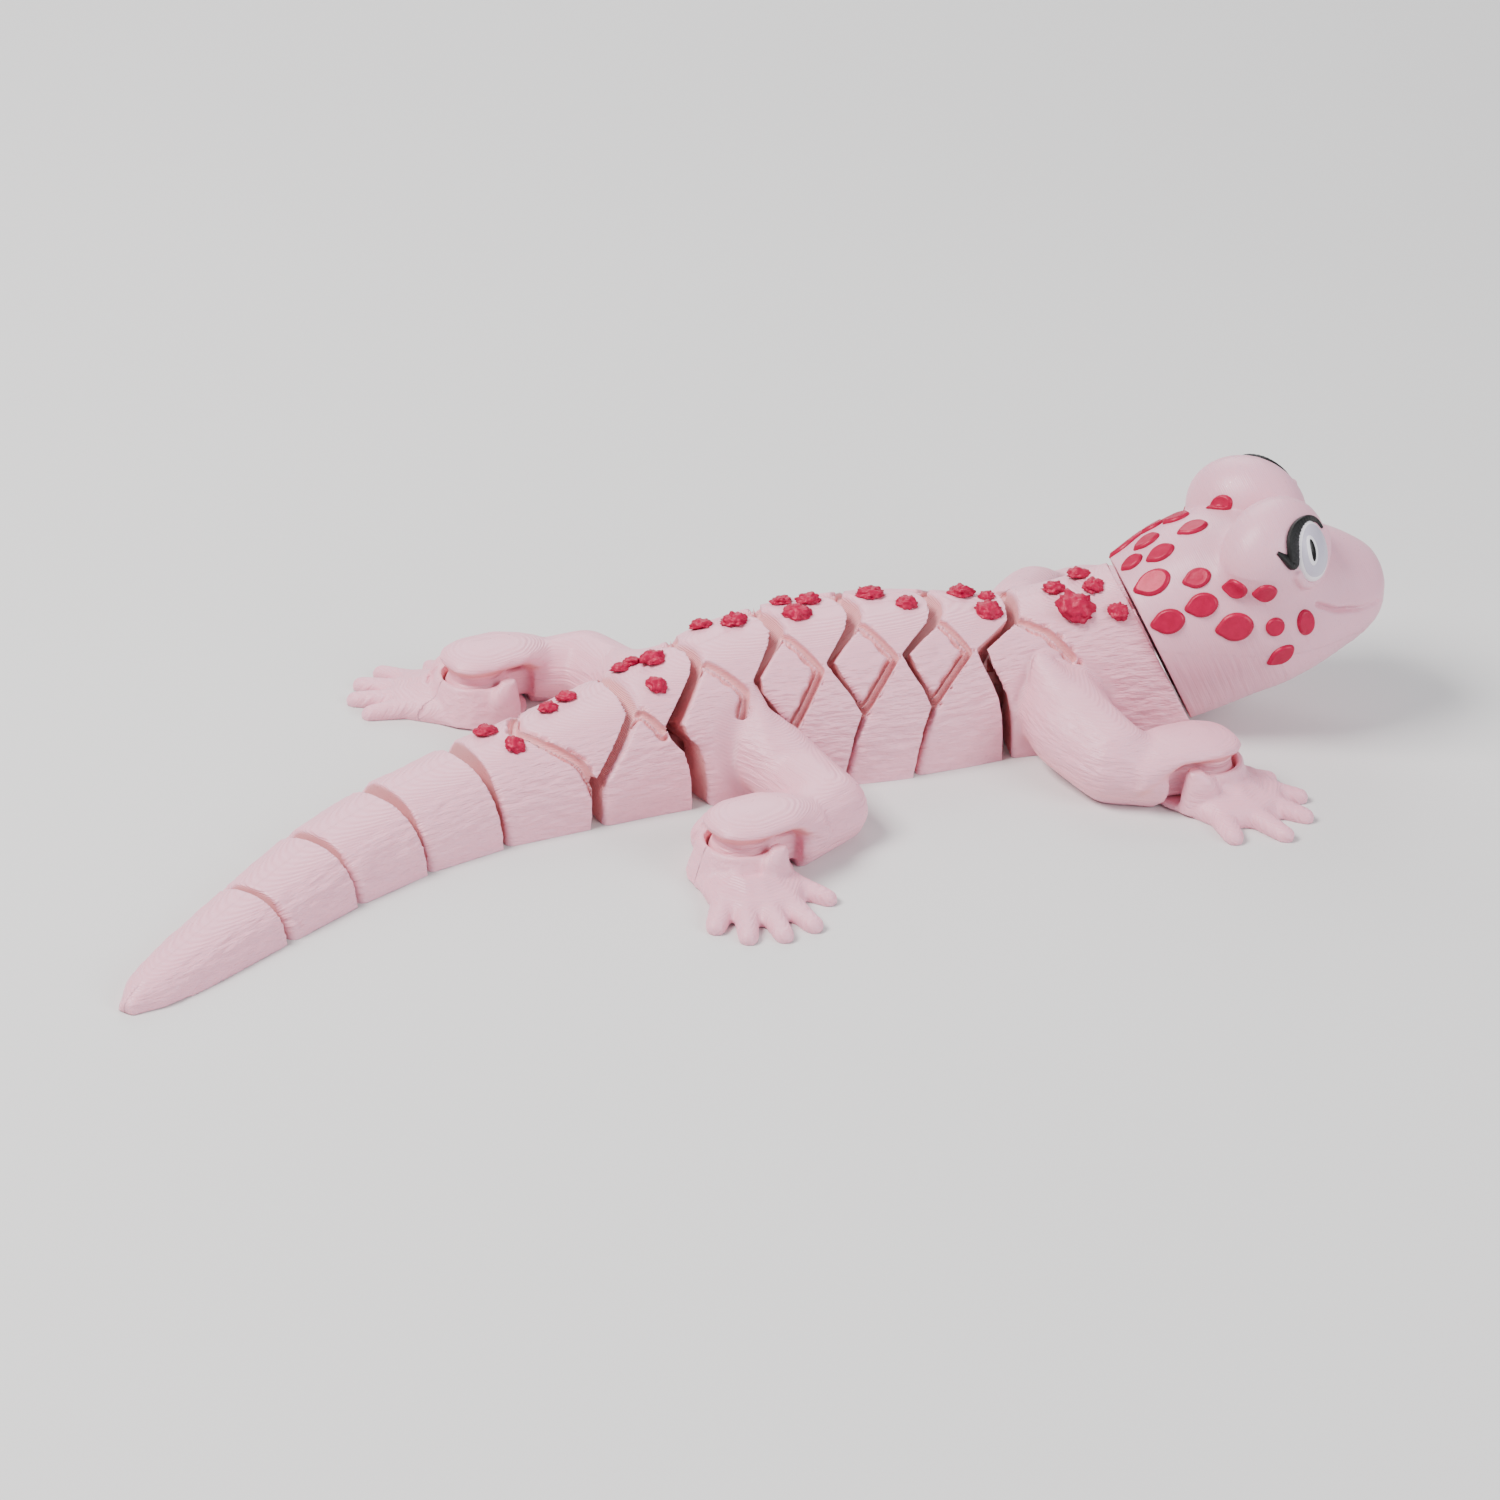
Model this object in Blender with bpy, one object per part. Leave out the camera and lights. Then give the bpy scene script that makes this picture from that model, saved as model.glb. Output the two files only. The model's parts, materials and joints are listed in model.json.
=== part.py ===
"""Jointed printed gecko: eleven body links, four limbs, two feet and two hands.

Every link is first described along one straight body. s is the distance from the
tail tip, t the angle round the body from the right foot of the arch (0) over the
ridge (90) to the left foot (180). The links are then turned about their pins into
the curved pose. Sizes are in millimetres and become metres in the meshes.
"""
import math

import bmesh
import bpy
from mathutils import Matrix, Vector

MM = 0.001
FIT = 0.3            # gap where two printed pieces meet face to face
SWING_ROOM = 1.6     # gap between a limb and the links on either side of its own
ARCH = 2.3           # roundness of the body's arch: 2 is an ellipse, more is boxier
COLUMNS = 20         # faces round one arch
CORE = 0.45          # height of the point a cut is ruled to, as a share of the body's

# Body size at distances from the tail tip: (s, half width, height)
BODY = [
    (0.0, 1.3, 1.7), (3.0, 3.2, 3.3), (10.0, 4.9, 4.6), (28.5, 7.1, 6.5), (43.5, 8.6, 8.3),
    (58.0, 9.6, 9.8), (73.0, 10.5, 11.7), (89.0, 11.6, 14.6), (98.0, 12.2, 16.8),
    (106.0, 13.1, 18.9), (118.0, 15.3, 21.1), (131.0, 17.4, 22.0), (145.0, 17.9, 21.9),
    (155.0, 16.3, 21.2), (163.0, 14.4, 20.6), (172.0, 13.4, 22.2), (183.0, 13.0, 25.6),
]

# Cuts between links, tail to head. Each runs from the floor up the flank to the
# ridge: distances at the floor, the lower corner, the tailward corner, the upper
# corner and the ridge, then the width of the cut along the body.
CUTS = [
    ("tail_1", (0.0, 90.0), (28.3, 28.3), 1.3),
    ("tail_2", (0.0, 90.0), (43.0, 43.0), 1.7),
    ("tail_3", (0.0, 90.0), (58.0, 57.6), 2.3),
    ("tail_4", (0.0, 90.0), (73.4, 72.4), 2.4),
    ("rump", (0.0, 24.0, 62.0, 90.0), (89.5, 90.0, 98.5, 98.8), 2.3),
    ("waist_1", (0.0, 14.0, 26.0, 42.0, 76.0, 90.0), (106.1, 106.1, 105.4, 102.4, 110.8, 111.6), 1.9),
    ("waist_2", (0.0, 14.0, 23.0, 50.0, 78.0, 90.0), (119.0, 120.6, 122.2, 117.3, 125.6, 126.2), 3.0),
    ("waist_3", (0.0, 16.0, 28.0, 53.0, 77.0, 90.0), (132.6, 134.2, 136.3, 131.7, 139.0, 140.0), 3.0),
    ("waist_4", (0.0, 16.0, 28.0, 53.0, 75.0, 90.0), (146.4, 147.8, 149.8, 145.5, 152.8, 153.8), 2.7),
    ("waist_5", (0.0, 16.0, 28.0, 53.0, 71.0, 90.0), (163.4, 163.2, 162.4, 158.9, 165.4, 166.0), 2.2),
]

# Headings of the links in the rest pose, tail tip to shoulders, in degrees.
LINKS = ["tail_tip", "tail_link_3", "tail_link_2", "tail_link_1", "tail_base", "rump_link",
         "hip_link", "torso_link_1", "torso_link_2", "torso_link_3", "shoulder_link"]
HEADINGS = [26.4, 24.8, 18.0, 8.0, -0.8, -1.5, 3.0, -6.0, -14.0, -20.5, -22.8]
ROOT = 6             # the hip link carries all the others
ROOT_PLACE = (0.4, 12.6)
ORIGIN_SHIFT = (-7.323, -5.518)    # moves the pose so that the box is centred on the origin

PIN_AHEAD = 3.2      # pin of a body joint, ahead of its cut at the floor
GROOVE_WIDE = 1.1
GROOVE_DEEP = 1.3

# Carved grooves on each link's flanks, as paths of (s, t).
GROOVES = {
    "tail_base": [[(80.8, 94), (83.5, 70), (88.0, 42), (89.6, 22)]],
    "rump_link": [[(98.9, 63), (100.4, 54), (102.0, 41)]],
    "hip_link": [[(111.4, 77), (115.4, 49), (112.4, 26)]],
    "torso_link_1": [[(125.9, 79), (129.6, 51), (122.8, 22)]],
    "torso_link_2": [[(139.3, 78), (143.6, 53), (137.0, 27)]],
    "torso_link_3": [[(153.0, 76), (157.2, 53), (150.4, 27)]],
    "shoulder_link": [[(165.6, 72), (170.4, 58), (174.6, 38)]],
}

# Spots of each link on its top: (s, t, radius).
BODY_SPOTS = {
    "tail_base": [(77.9, 102, 1.7), (79.6, 76, 1.5), (88.0, 97, 1.5), (91.6, 100, 1.5)],
    "rump_link": [(101.2, 103, 1.4), (103.4, 104, 1.3), (105.7, 95, 2.0), (103.3, 73, 1.5)],
    "hip_link": [(117.1, 107, 1.6), (121.0, 95, 1.9)],
    "torso_link_1": [(130.6, 104, 1.5), (134.3, 98, 1.8), (130.6, 89, 2.0)],
    "torso_link_2": [(144.0, 97, 2.0), (148.7, 87, 1.6)],
    "torso_link_3": [(158.8, 100, 2.0), (162.6, 95, 1.2), (161.8, 81, 2.0)],
    "shoulder_link": [(177.2, 96, 1.7), (172.9, 89, 1.7), (178.6, 80, 1.6), (175.2, 68, 2.8),
                      (181.6, 57, 1.5)],
}
# Spots of the head: (s, distance to the left, z, radius); those on the cheeks are paired.
HEAD_SPOTS = [(200.0, 3.8, 34.0, 1.5), (193.4, 4.5, 31.6, 1.5), (194.5, -1.2, 32.5, 1.7),
              (186.6, 6.6, 26.9, 2.0), (187.9, 1.2, 29.4, 1.5), (188.3, -3.8, 29.3, 1.7),
              (185.4, -1.4, 27.4, 1.4)]
CHEEK_SPOTS = [(187.6, -7.6, 26.8, 2.4), (193.0, -10.0, 28.2, 1.6), (193.6, -12.6, 24.8, 1.9),
               (198.2, -14.0, 28.1, 1.6), (202.4, -16.1, 28.1, 1.6), (189.6, -12.2, 21.9, 2.0),
               (198.6, -14.9, 21.9, 2.4), (204.7, -15.5, 22.0, 1.4), (209.8, -14.5, 22.1, 1.7),
               (206.3, -15.4, 17.1, 1.7)]

# Slanted plane where the printed head is glued on: (s, z) at its foot and its top.
SEAM_FOOT = (196.0, -0.5)
SEAM_TOP = (181.8, 26.5)

# Rings of the head: foot and top of each ring (s, z), and its half width.
HEAD_RINGS = [
    ((196.0, 0.4), (182.7, 25.6), 12.9), ((199.8, 2.0), (188.8, 30.2), 14.0),
    ((204.8, 4.6), (195.8, 33.2), 15.4), ((209.8, 6.8), (202.8, 33.8), 15.8),
    ((214.6, 9.2), (210.3, 32.6), 14.0), ((218.8, 11.4), (216.3, 31.0), 11.2),
    ((222.4, 13.8), (221.4, 29.0), 9.0), ((224.6, 16.2), (224.8, 26.8), 6.8),
    ((225.9, 18.8), (226.2, 23.8), 3.6),
]
DOME = (205.6, 8.0, 31.0)            # centre of an eye dome: s, distance aside, z
DOME_RADII = (7.4, 10.2, 9.0)         # across the eye, along the brow, upwards
EYE_FACING = 48.0                    # turned outwards from straight ahead, degrees
EYE_TILT = 22.0                      # and upwards
EYE_SIZE = (4.0, 5.2)                # half width and half height of the eye's face
EYE_THICK = 2.2
EYE_SUNK = 0.9                       # centre of the eye, below the dome's skin
# Lash seen from the front of the eye: (towards the tail, up, half width).
LASH = [(4.9, -0.6, 0.7), (5.5, 2.5, 1.1), (4.6, 5.2, 1.2), (1.7, 6.5, 0.9), (-1.6, 6.1, 0.5)]
LASH_THICK = 0.8
LASH_SUNK = 0.2

# Limbs: centres (s, distance aside, z, radius, height factor), body outwards.
LEG = [(113.6, 9.0, 8.4, 6.4, 1.0), (115.2, 19.5, 5.0, 6.0, 0.9), (114.6, 29.4, 4.4, 6.0, 0.9),
       (105.8, 32.8, 4.0, 5.0, 0.9)]
LEG_PIVOT = (96.2, 32.8)
ARM = [(171.8, 8.0, 8.0, 7.0, 1.0), (173.0, 19.0, 7.2, 7.0, 0.98), (177.0, 27.4, 6.0, 6.5, 0.98),
       (183.6, 29.6, 4.2, 5.0, 0.9)]
ARM_PIVOT = (191.2, 27.8)
SHIFT = {"leg_right": 2.8, "leg_left": -2.8, "arm_right": 0.0, "arm_left": 0.0}
LOBE = 4.9           # radius of the round end of a limb
LOBE_TOP = 7.2
LOBE_LOW = 1.6       # its underside, clear of the pocket's floor
LOBE_SLOPE = 2.0     # height of its sloped shoulder
BORE = 2.1           # radius of the hole for the foot's pin
POCKET_FLOOR = 1.2   # thickness of the foot under the pocket
FOOT_PIN = 1.5       # radius of the pin in the pocket
WALL_TOP = 6.4
SOCKET = 5.4         # radius of the pocket that holds the lobe
KNUCKLE = 8.2        # outer radius of the pocket's wall
SWEEP = 9.2          # radius kept free round a pivot
NECK = 2.5           # half width of the neck behind the lobe
NECK_LONG = 12.0     # its length from the pivot

# Digits seen from the pivot: (angle from the middle digit, reach, root reach).
FOOT_DIGITS = [(-31.0, 18.6, 11.0), (-15.6, 20.8, 12.0), (0.0, 21.0, 12.0), (15.7, 20.2, 12.0),
               (41.0, 16.4, 9.0)]
HAND_DIGITS = [(-49.0, 17.4, 10.0), (-23.0, 19.8, 11.5), (0.0, 19.0, 11.5), (21.0, 17.0, 11.0),
               (46.0, 13.4, 8.5)]
# Heading of the middle digit at rest, in the frame of the link that carries the limb,
# for the right and the left side, mirrored to the right.
FOOT_AIM = {"right": -105.7, "left": -129.0}
HAND_AIM = {"right": -36.0, "left": -36.0}
FOOT_OPENING = 118.0     # middle of the pocket's mouth, from the middle digit
HAND_OPENING = -162.0
MOUTH_HALF = 70.0        # half of the pocket's mouth

PINK = (0.86, 0.60, 0.66, 1.0)
DARK = (0.01, 0.01, 0.01, 1.0)
LILAC = (0.62, 0.60, 0.68, 1.0)


def interpolate(table, s, column):
    """Smooth value of one column of a table at distance s."""
    if s <= table[0][0]:
        return table[0][column]
    if s >= table[-1][0]:
        return table[-1][column]
    index = max(i for i, row in enumerate(table) if row[0] <= s)
    index = min(index, len(table) - 2)
    before, here, after, beyond = (table[max(index - 1, 0)], table[index], table[index + 1],
                                   table[min(index + 2, len(table) - 1)])
    span = after[0] - here[0]
    slope_here = (after[column] - before[column]) / (after[0] - before[0])
    slope_after = (beyond[column] - here[column]) / (beyond[0] - here[0])
    u = (s - here[0]) / span
    return ((2 * u ** 3 - 3 * u ** 2 + 1) * here[column] + (u ** 3 - 2 * u ** 2 + u) * span * slope_here
            + (3 * u ** 2 - 2 * u ** 3) * after[column] + (u ** 3 - u ** 2) * span * slope_after)


def arch_point(s, t, inset=0.0):
    """Point of the body's skin, or of a skin that lies deeper by inset."""
    half = interpolate(BODY, s, 1) - inset
    height = interpolate(BODY, s, 2) - inset
    angle = math.radians(t)
    side = -math.copysign(abs(math.cos(angle)) ** (2 / ARCH), math.cos(angle)) * half
    return Vector((s, side, height * abs(math.sin(angle)) ** (2 / ARCH)))


def cut_at(cut, t):
    """Distance of a cut at angle t, the same on both flanks."""
    levels, places = cut[1], cut[2]
    t = min(t, 180.0 - t)
    for low, high, a, b in zip(levels, levels[1:], places, places[1:]):
        if t <= high + 1e-9:
            return a + (b - a) * max(t - low, 0.0) / (high - low)
    return places[-1]


def mesh_object(name, bm, collection, place=Vector((0, 0, 0))):
    """New object from a bmesh in millimetres, with its origin moved to a place."""
    bmesh.ops.translate(bm, verts=bm.verts, vec=-place)
    bmesh.ops.scale(bm, verts=bm.verts, vec=(MM, MM, MM))
    bmesh.ops.recalc_face_normals(bm, faces=bm.faces)
    mesh = bpy.data.meshes.new(name)
    bm.to_mesh(mesh)
    bm.free()
    item = bpy.data.objects.new(name, mesh)
    collection.objects.link(item)
    return item


def combine(target, others, operation, solver="MANIFOLD"):
    """Apply one Boolean for each of the other closed objects, then remove them."""
    for other in others:
        modifier = target.modifiers.new(operation, "BOOLEAN")
        modifier.operation = operation
        modifier.object = other
        modifier.solver = solver
    depsgraph = bpy.context.evaluated_depsgraph_get()
    result = bpy.data.meshes.new_from_object(target.evaluated_get(depsgraph))
    target.modifiers.clear()
    target.data = result
    for other in others:
        bpy.data.objects.remove(other)


def keep_largest(item):
    """Drop every closed surface of an object except the largest."""
    bm = bmesh.new()
    bm.from_mesh(item.data)
    bmesh.ops.remove_doubles(bm, verts=bm.verts, dist=0.00003)
    bmesh.ops.dissolve_degenerate(bm, edges=bm.edges, dist=0.00002)
    loose = [e for e in bm.edges if not e.link_faces]
    bmesh.ops.delete(bm, geom=loose, context="EDGES")
    left = set(bm.faces)
    groups = []
    while left:
        start = left.pop()
        group = {start}
        front = [start]
        while front:
            face = front.pop()
            for edge in face.edges:
                for other in edge.link_faces:
                    if other not in group:
                        group.add(other)
                        front.append(other)
        left -= group
        groups.append(group)
    groups.sort(key=len)
    spare = [face for group in groups[:-1] for face in group]
    bmesh.ops.delete(bm, geom=spare, context="FACES")
    bmesh.ops.holes_fill(bm, edges=[e for e in bm.edges if e.is_boundary], sides=0)
    slivers = {v for e in bm.edges if e.is_boundary for v in e.verts}
    bmesh.ops.remove_doubles(bm, verts=list(slivers), dist=0.0004)
    bmesh.ops.recalc_face_normals(bm, faces=bm.faces)
    bm.to_mesh(item.data)
    bm.free()


def paint(item, colour, roughness):
    """Own Principled material of a node."""
    material = bpy.data.materials.new(item.name)
    material.use_nodes = True
    shader = material.node_tree.nodes["Principled BSDF"]
    shader.inputs["Base Color"].default_value = colour
    shader.inputs["Roughness"].default_value = roughness
    shader.inputs["Metallic"].default_value = 0.0
    item.data.materials.clear()
    item.data.materials.append(material)


def block(name, centre, size, collection):
    """Box given by its centre and size."""
    bm = bmesh.new()
    bmesh.ops.create_cube(bm, size=1.0)
    bmesh.ops.scale(bm, verts=bm.verts, vec=size)
    bmesh.ops.translate(bm, verts=bm.verts, vec=centre)
    return mesh_object(name, bm, collection)


def drum(name, x, y, low, high, radius, collection, sides=20, top_radius=None):
    """Upright cylinder or cone frustum between two heights."""
    bm = bmesh.new()
    bmesh.ops.create_cone(bm, cap_ends=True, segments=sides, radius1=radius,
                          radius2=radius if top_radius is None else top_radius, depth=high - low)
    bmesh.ops.translate(bm, verts=bm.verts, vec=(x, y, (low + high) / 2))
    return mesh_object(name, bm, collection)


def ball_hull(name, balls, collection, rings=7, floor=0.0):
    """Hull round flattened balls (x, y, z, radius, height factor), cut flat at the floor."""
    bm = bmesh.new()
    for x, y, z, radius, flat in balls:
        made = bmesh.ops.create_uvsphere(bm, u_segments=2 * rings, v_segments=rings, radius=radius)
        bmesh.ops.scale(bm, verts=made["verts"], vec=(1, 1, flat))
        bmesh.ops.translate(bm, verts=made["verts"], vec=(x, y, z))
    bmesh.ops.delete(bm, geom=bm.faces[:], context="FACES_ONLY")
    bmesh.ops.delete(bm, geom=bm.edges[:], context="EDGES_FACES")
    hull = bmesh.ops.convex_hull(bm, input=bm.verts)
    spare = {v for v in hull["geom_interior"] + hull["geom_unused"] if isinstance(v, bmesh.types.BMVert)}
    bmesh.ops.delete(bm, geom=list(spare), context="VERTS")
    cut = bmesh.ops.bisect_plane(bm, geom=bm.verts[:] + bm.edges[:] + bm.faces[:], dist=0.0001,
                                 plane_co=(0, 0, floor), plane_no=(0, 0, -1), clear_outer=True)
    rim = [e for e in cut["geom_cut"] if isinstance(e, bmesh.types.BMEdge)]
    if rim:
        bmesh.ops.contextual_create(bm, geom=rim)
    return mesh_object(name, bm, collection)


def loft(rings, closed_ends=True):
    """Skin over rings of equal count, fanned shut at both ends."""
    bm = bmesh.new()
    rows = [[bm.verts.new(point) for point in ring] for ring in rings]
    count = len(rows[0])
    for row, after in zip(rows, rows[1:]):
        for i in range(count):
            j = (i + 1) % count
            bm.faces.new((row[i], row[j], after[j], after[i]))
    if closed_ends:
        for row in (rows[0], rows[-1]):
            middle = bm.verts.new(sum((v.co for v in row), Vector()) / count)
            for i in range(count):
                bm.faces.new((row[i], row[(i + 1) % count], middle))
    return bm


def link_shell(name, rear, front, collection, inset=0.0, rows=3, seam=False):
    """Slice of the body between two cuts, its ends ruled towards the body's core."""
    bm = bmesh.new()
    angles = [180.0 * i / COLUMNS for i in range(COLUMNS + 1)]
    grid = []
    for row in range(rows + 1):
        share = row / rows
        line = []
        for t in angles:
            start, stop = rear(t), front(t)
            line.append(bm.verts.new(arch_point(start + (stop - start) * share, t, inset)))
        grid.append(line)
    for line, after in zip(grid, grid[1:]):
        for i in range(COLUMNS):
            bm.faces.new((line[i], line[i + 1], after[i + 1], after[i]))
        bm.faces.new((line[0], line[-1], after[-1], after[0]))
    for line in (grid[0], grid[-1]):
        s = line[0].co.x
        if seam and line is grid[-1]:
            s += CORE * (line[COLUMNS // 2].co.x - s)
        core = bm.verts.new((s, 0.0, CORE * interpolate(BODY, s, 2)))
        for i in range(COLUMNS + 1):
            bm.faces.new((line[i], line[(i + 1) % (COLUMNS + 1)], core))
    return mesh_object(name, bm, collection)


def groove(name, path, collection, wide=GROOVE_WIDE, deep=GROOVE_DEEP, mirror=False):
    """Square channel along a path of (s, t) points on the skin."""
    points = []
    for (s0, t0), (s1, t1) in zip(path, path[1:]):
        for step in range(6):
            u = step / 6
            points.append((s0 + (s1 - s0) * u, t0 + (t1 - t0) * u))
    points.append(path[-1])
    if mirror:
        points = [(s, 180.0 - t) for s, t in points]
    skin = [arch_point(s, t) for s, t in points]
    outward = [(arch_point(s, t) - arch_point(s, t, 1.0)).normalized() for s, t in points]
    rings = []
    for i, (spot, normal) in enumerate(zip(skin, outward)):
        along = (skin[min(i + 1, len(skin) - 1)] - skin[max(i - 1, 0)]).normalized()
        across = along.cross(normal).normalized() * wide / 2
        rings.append([spot + normal * 0.8 + across, spot + normal * 0.8 - across,
                      spot - normal * deep - across, spot - normal * deep + across])
    return mesh_object(name, loft(rings), collection)


LUMP_SUNK = 1.2      # depth of a spot's foot under the skin


def lump(name, point, normal, radius, collection, height=0.7):
    """Low raised lump, sunk into the skin at a point."""
    bm = bmesh.new()
    bmesh.ops.create_cone(bm, cap_ends=True, segments=7, radius1=radius, radius2=radius * 0.75,
                          depth=height + LUMP_SUNK)
    turn = normal.to_track_quat("Z", "Y").to_matrix().to_4x4()
    bmesh.ops.transform(bm, matrix=Matrix.Translation(point + normal * (height - LUMP_SUNK) / 2) @ turn,
                        verts=bm.verts)
    return mesh_object(name, bm, collection)


def spot_lump(name, s, t, radius, collection):
    """Spot of the body, at distance s and angle t."""
    point = arch_point(s, t)
    return lump(name, point, (point - arch_point(s, t, 1.0)).normalized(), radius, collection)


def interpolate_height(t):
    """Share of the seam's height at angle t."""
    return abs(math.sin(math.radians(t))) ** (2 / ARCH)


def joint_size(index):
    """Sizes of the pin joint in one cut, smaller in the thin tail."""
    room = interpolate(BODY, CUTS[index][2][0], 2)
    scale = min(1.0, room / 14.0)
    return {"ahead": PIN_AHEAD * scale, "eye": 2.9 * scale, "pin": 1.25 * scale, "bar": 2.0 * scale,
            "slot": 5.6 * scale, "low": 2.6 * scale, "high": 7.6 * scale}


def build_link(index, parts):
    """One link of the body with its grooves, spots, front tab and rear slot."""
    name = LINKS[index]
    if index == 0:
        def rear(t):
            return 0.0
    else:
        rear_cut = CUTS[index - 1]

        def rear(t):
            return cut_at(rear_cut, t) + rear_cut[3] / 2
    if index == len(LINKS) - 1:
        def front(t):
            share = interpolate_height(t)
            return SEAM_FOOT[0] + (SEAM_TOP[0] - SEAM_FOOT[0]) * share - FIT / 2
    else:
        front_cut = CUTS[index]

        def front(t):
            return cut_at(front_cut, t) - front_cut[3] / 2
    rows = (7, 2, 2, 2, 2, 3, 3, 3, 3, 3, 5)[index]
    body = link_shell(name, rear, front, parts, rows=rows, seam=index == len(LINKS) - 1)
    cutters = [groove("groove", path, parts, mirror=mirror)
               for path in GROOVES.get(name, []) for mirror in (False, True)]
    added = [spot_lump("spot", s, t, radius, parts) for s, t, radius in BODY_SPOTS.get(name, [])]
    if index > 0:
        hinge = joint_size(index - 1)
        start = CUTS[index - 1][2][0]
        pin = start + hinge["ahead"]
        reach = hinge["ahead"] + hinge["eye"] + 0.7
        cutters.append(block("slot", (start + reach / 2 - 1.5, 0, (hinge["low"] + hinge["high"]) / 2),
                             (reach + 3.0, 2 * hinge["slot"], hinge["high"] - hinge["low"]), parts))
    if cutters:
        combine(body, cutters, "DIFFERENCE")
    if index > 0:
        added.append(drum("pin", pin, 0, hinge["low"] - 0.6, hinge["high"] + 0.6, hinge["pin"], parts, 12))
    if index < len(LINKS) - 1:
        hinge = joint_size(index)
        start = CUTS[index][2][0]
        pin = start + hinge["ahead"]
        low = hinge["low"] + 0.4
        high = hinge["high"] - 0.4
        eye = drum("eye", pin, 0, low, high, hinge["eye"], parts, 16)
        bar = block("bar", ((start - 3.5 + pin) / 2, 0, (low + high) / 2),
                    (pin - start + 3.5, 2 * hinge["bar"], high - low), parts)
        combine(eye, [bar], "UNION")
        combine(eye, [drum("hole", pin, 0, low - 1, high + 1, hinge["pin"] + 0.45, parts, 12)],
                "DIFFERENCE")
        added.append(eye)
    if added:
        combine(body, added, "UNION")
    keep_largest(body)
    return body


def link_frames():
    """World matrix (millimetres) that carries each straight link into the pose."""
    frames = [None] * len(LINKS)
    root_pin = Vector((CUTS[ROOT - 1][2][0], 0, 0))
    place = Vector((ROOT_PLACE[0] + ORIGIN_SHIFT[0], ROOT_PLACE[1] + ORIGIN_SHIFT[1], 0))
    frames[ROOT] = (Matrix.Translation(place) @ Matrix.Rotation(math.radians(HEADINGS[ROOT]), 4, "Z")
                    @ Matrix.Translation(-root_pin))
    for index in list(range(ROOT + 1, len(LINKS))) + list(range(ROOT - 1, -1, -1)):
        known = index - 1 if index > ROOT else index + 1
        cut = min(index, known)
        pin = Vector((CUTS[cut][2][0] + joint_size(cut)["ahead"], 0, 0))
        frames[index] = (Matrix.Translation(frames[known] @ pin)
                         @ Matrix.Rotation(math.radians(HEADINGS[index]), 4, "Z")
                         @ Matrix.Translation(-pin))
    return frames


def mirrored(y, side):
    return -y if side == "right" else y


def polar(centre, angle, reach, side):
    """Point at an angle and reach from a pivot; angles are those of the right side."""
    angle = math.radians(angle)
    flip = 1 if side == "right" else -1
    return (centre[0] + reach * math.cos(angle), centre[1] + flip * reach * math.sin(angle))


def build_limb(name, side, balls, pivot, link, parts):
    """Limb from the flank to its round end, cut back clear of the body and the foot."""
    chain = [(s + SHIFT[name], mirrored(aside, side), z, radius, flat)
             for s, aside, z, radius, flat in balls]
    hulls = [ball_hull("segment", pair, parts, rings=6) for pair in zip(chain, chain[1:])]
    limb = hulls[0]
    limb.name = name
    combine(limb, hulls[1:], "UNION")
    px, py = pivot[0] + SHIFT[name], mirrored(pivot[1], side)
    combine(limb, [drum("sweep", px, py, -1, 20, SWEEP, parts, 20)], "DIFFERENCE")
    last = Vector((chain[-1][0], chain[-1][1], 0))
    centre = Vector((px, py, 0))
    along = (last - centre).normalized()
    neck = block("neck", (0, 0, 0), (NECK_LONG, 2 * NECK, 4.6), parts)
    neck.data.transform(Matrix.Translation((centre + along * NECK_LONG / 2 + Vector((0, 0, 3.9))) * MM)
                        @ Matrix.Rotation(math.atan2(along.y, along.x), 4, "Z"))
    lobe = drum("lobe", px, py, LOBE_LOW, LOBE_TOP - LOBE_SLOPE, LOBE, parts, 24)
    cap = drum("cap", px, py, LOBE_TOP - LOBE_SLOPE - 0.001, LOBE_TOP, LOBE, parts, 24,
               top_radius=LOBE - 2.2)
    combine(limb, [neck, lobe, cap], "UNION")
    combine(limb, [drum("bore", px, py, 1.0, 5.6, BORE, parts, 16)], "DIFFERENCE")
    index = LINKS.index(link)
    rear_cut = CUTS[index - 1]
    front_cut = CUTS[index] if index < len(CUTS) else None

    def behind(t):
        return cut_at(rear_cut, t) + rear_cut[3] / 2

    def ahead(t):
        if front_cut is None:
            return SEAM_FOOT[0] + (SEAM_TOP[0] - SEAM_FOOT[0]) * interpolate_height(t)
        return cut_at(front_cut, t) - front_cut[3] / 2
    hollow = link_shell("hollow", lambda t: behind(t) - 1.0, lambda t: ahead(t) + 1.0, parts, inset=-FIT)
    before = link_shell("before", lambda t: behind(t) - 14.0, behind, parts, inset=-SWING_ROOM)
    after = link_shell("after", ahead, lambda t: ahead(t) + 14.0, parts, inset=-SWING_ROOM)
    guard = block("guard", (0, 0, -2.45), (600, 120, 5.0), parts)
    combine(limb, [hollow, before, after, guard], "DIFFERENCE")
    keep_largest(limb)
    return limb


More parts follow.
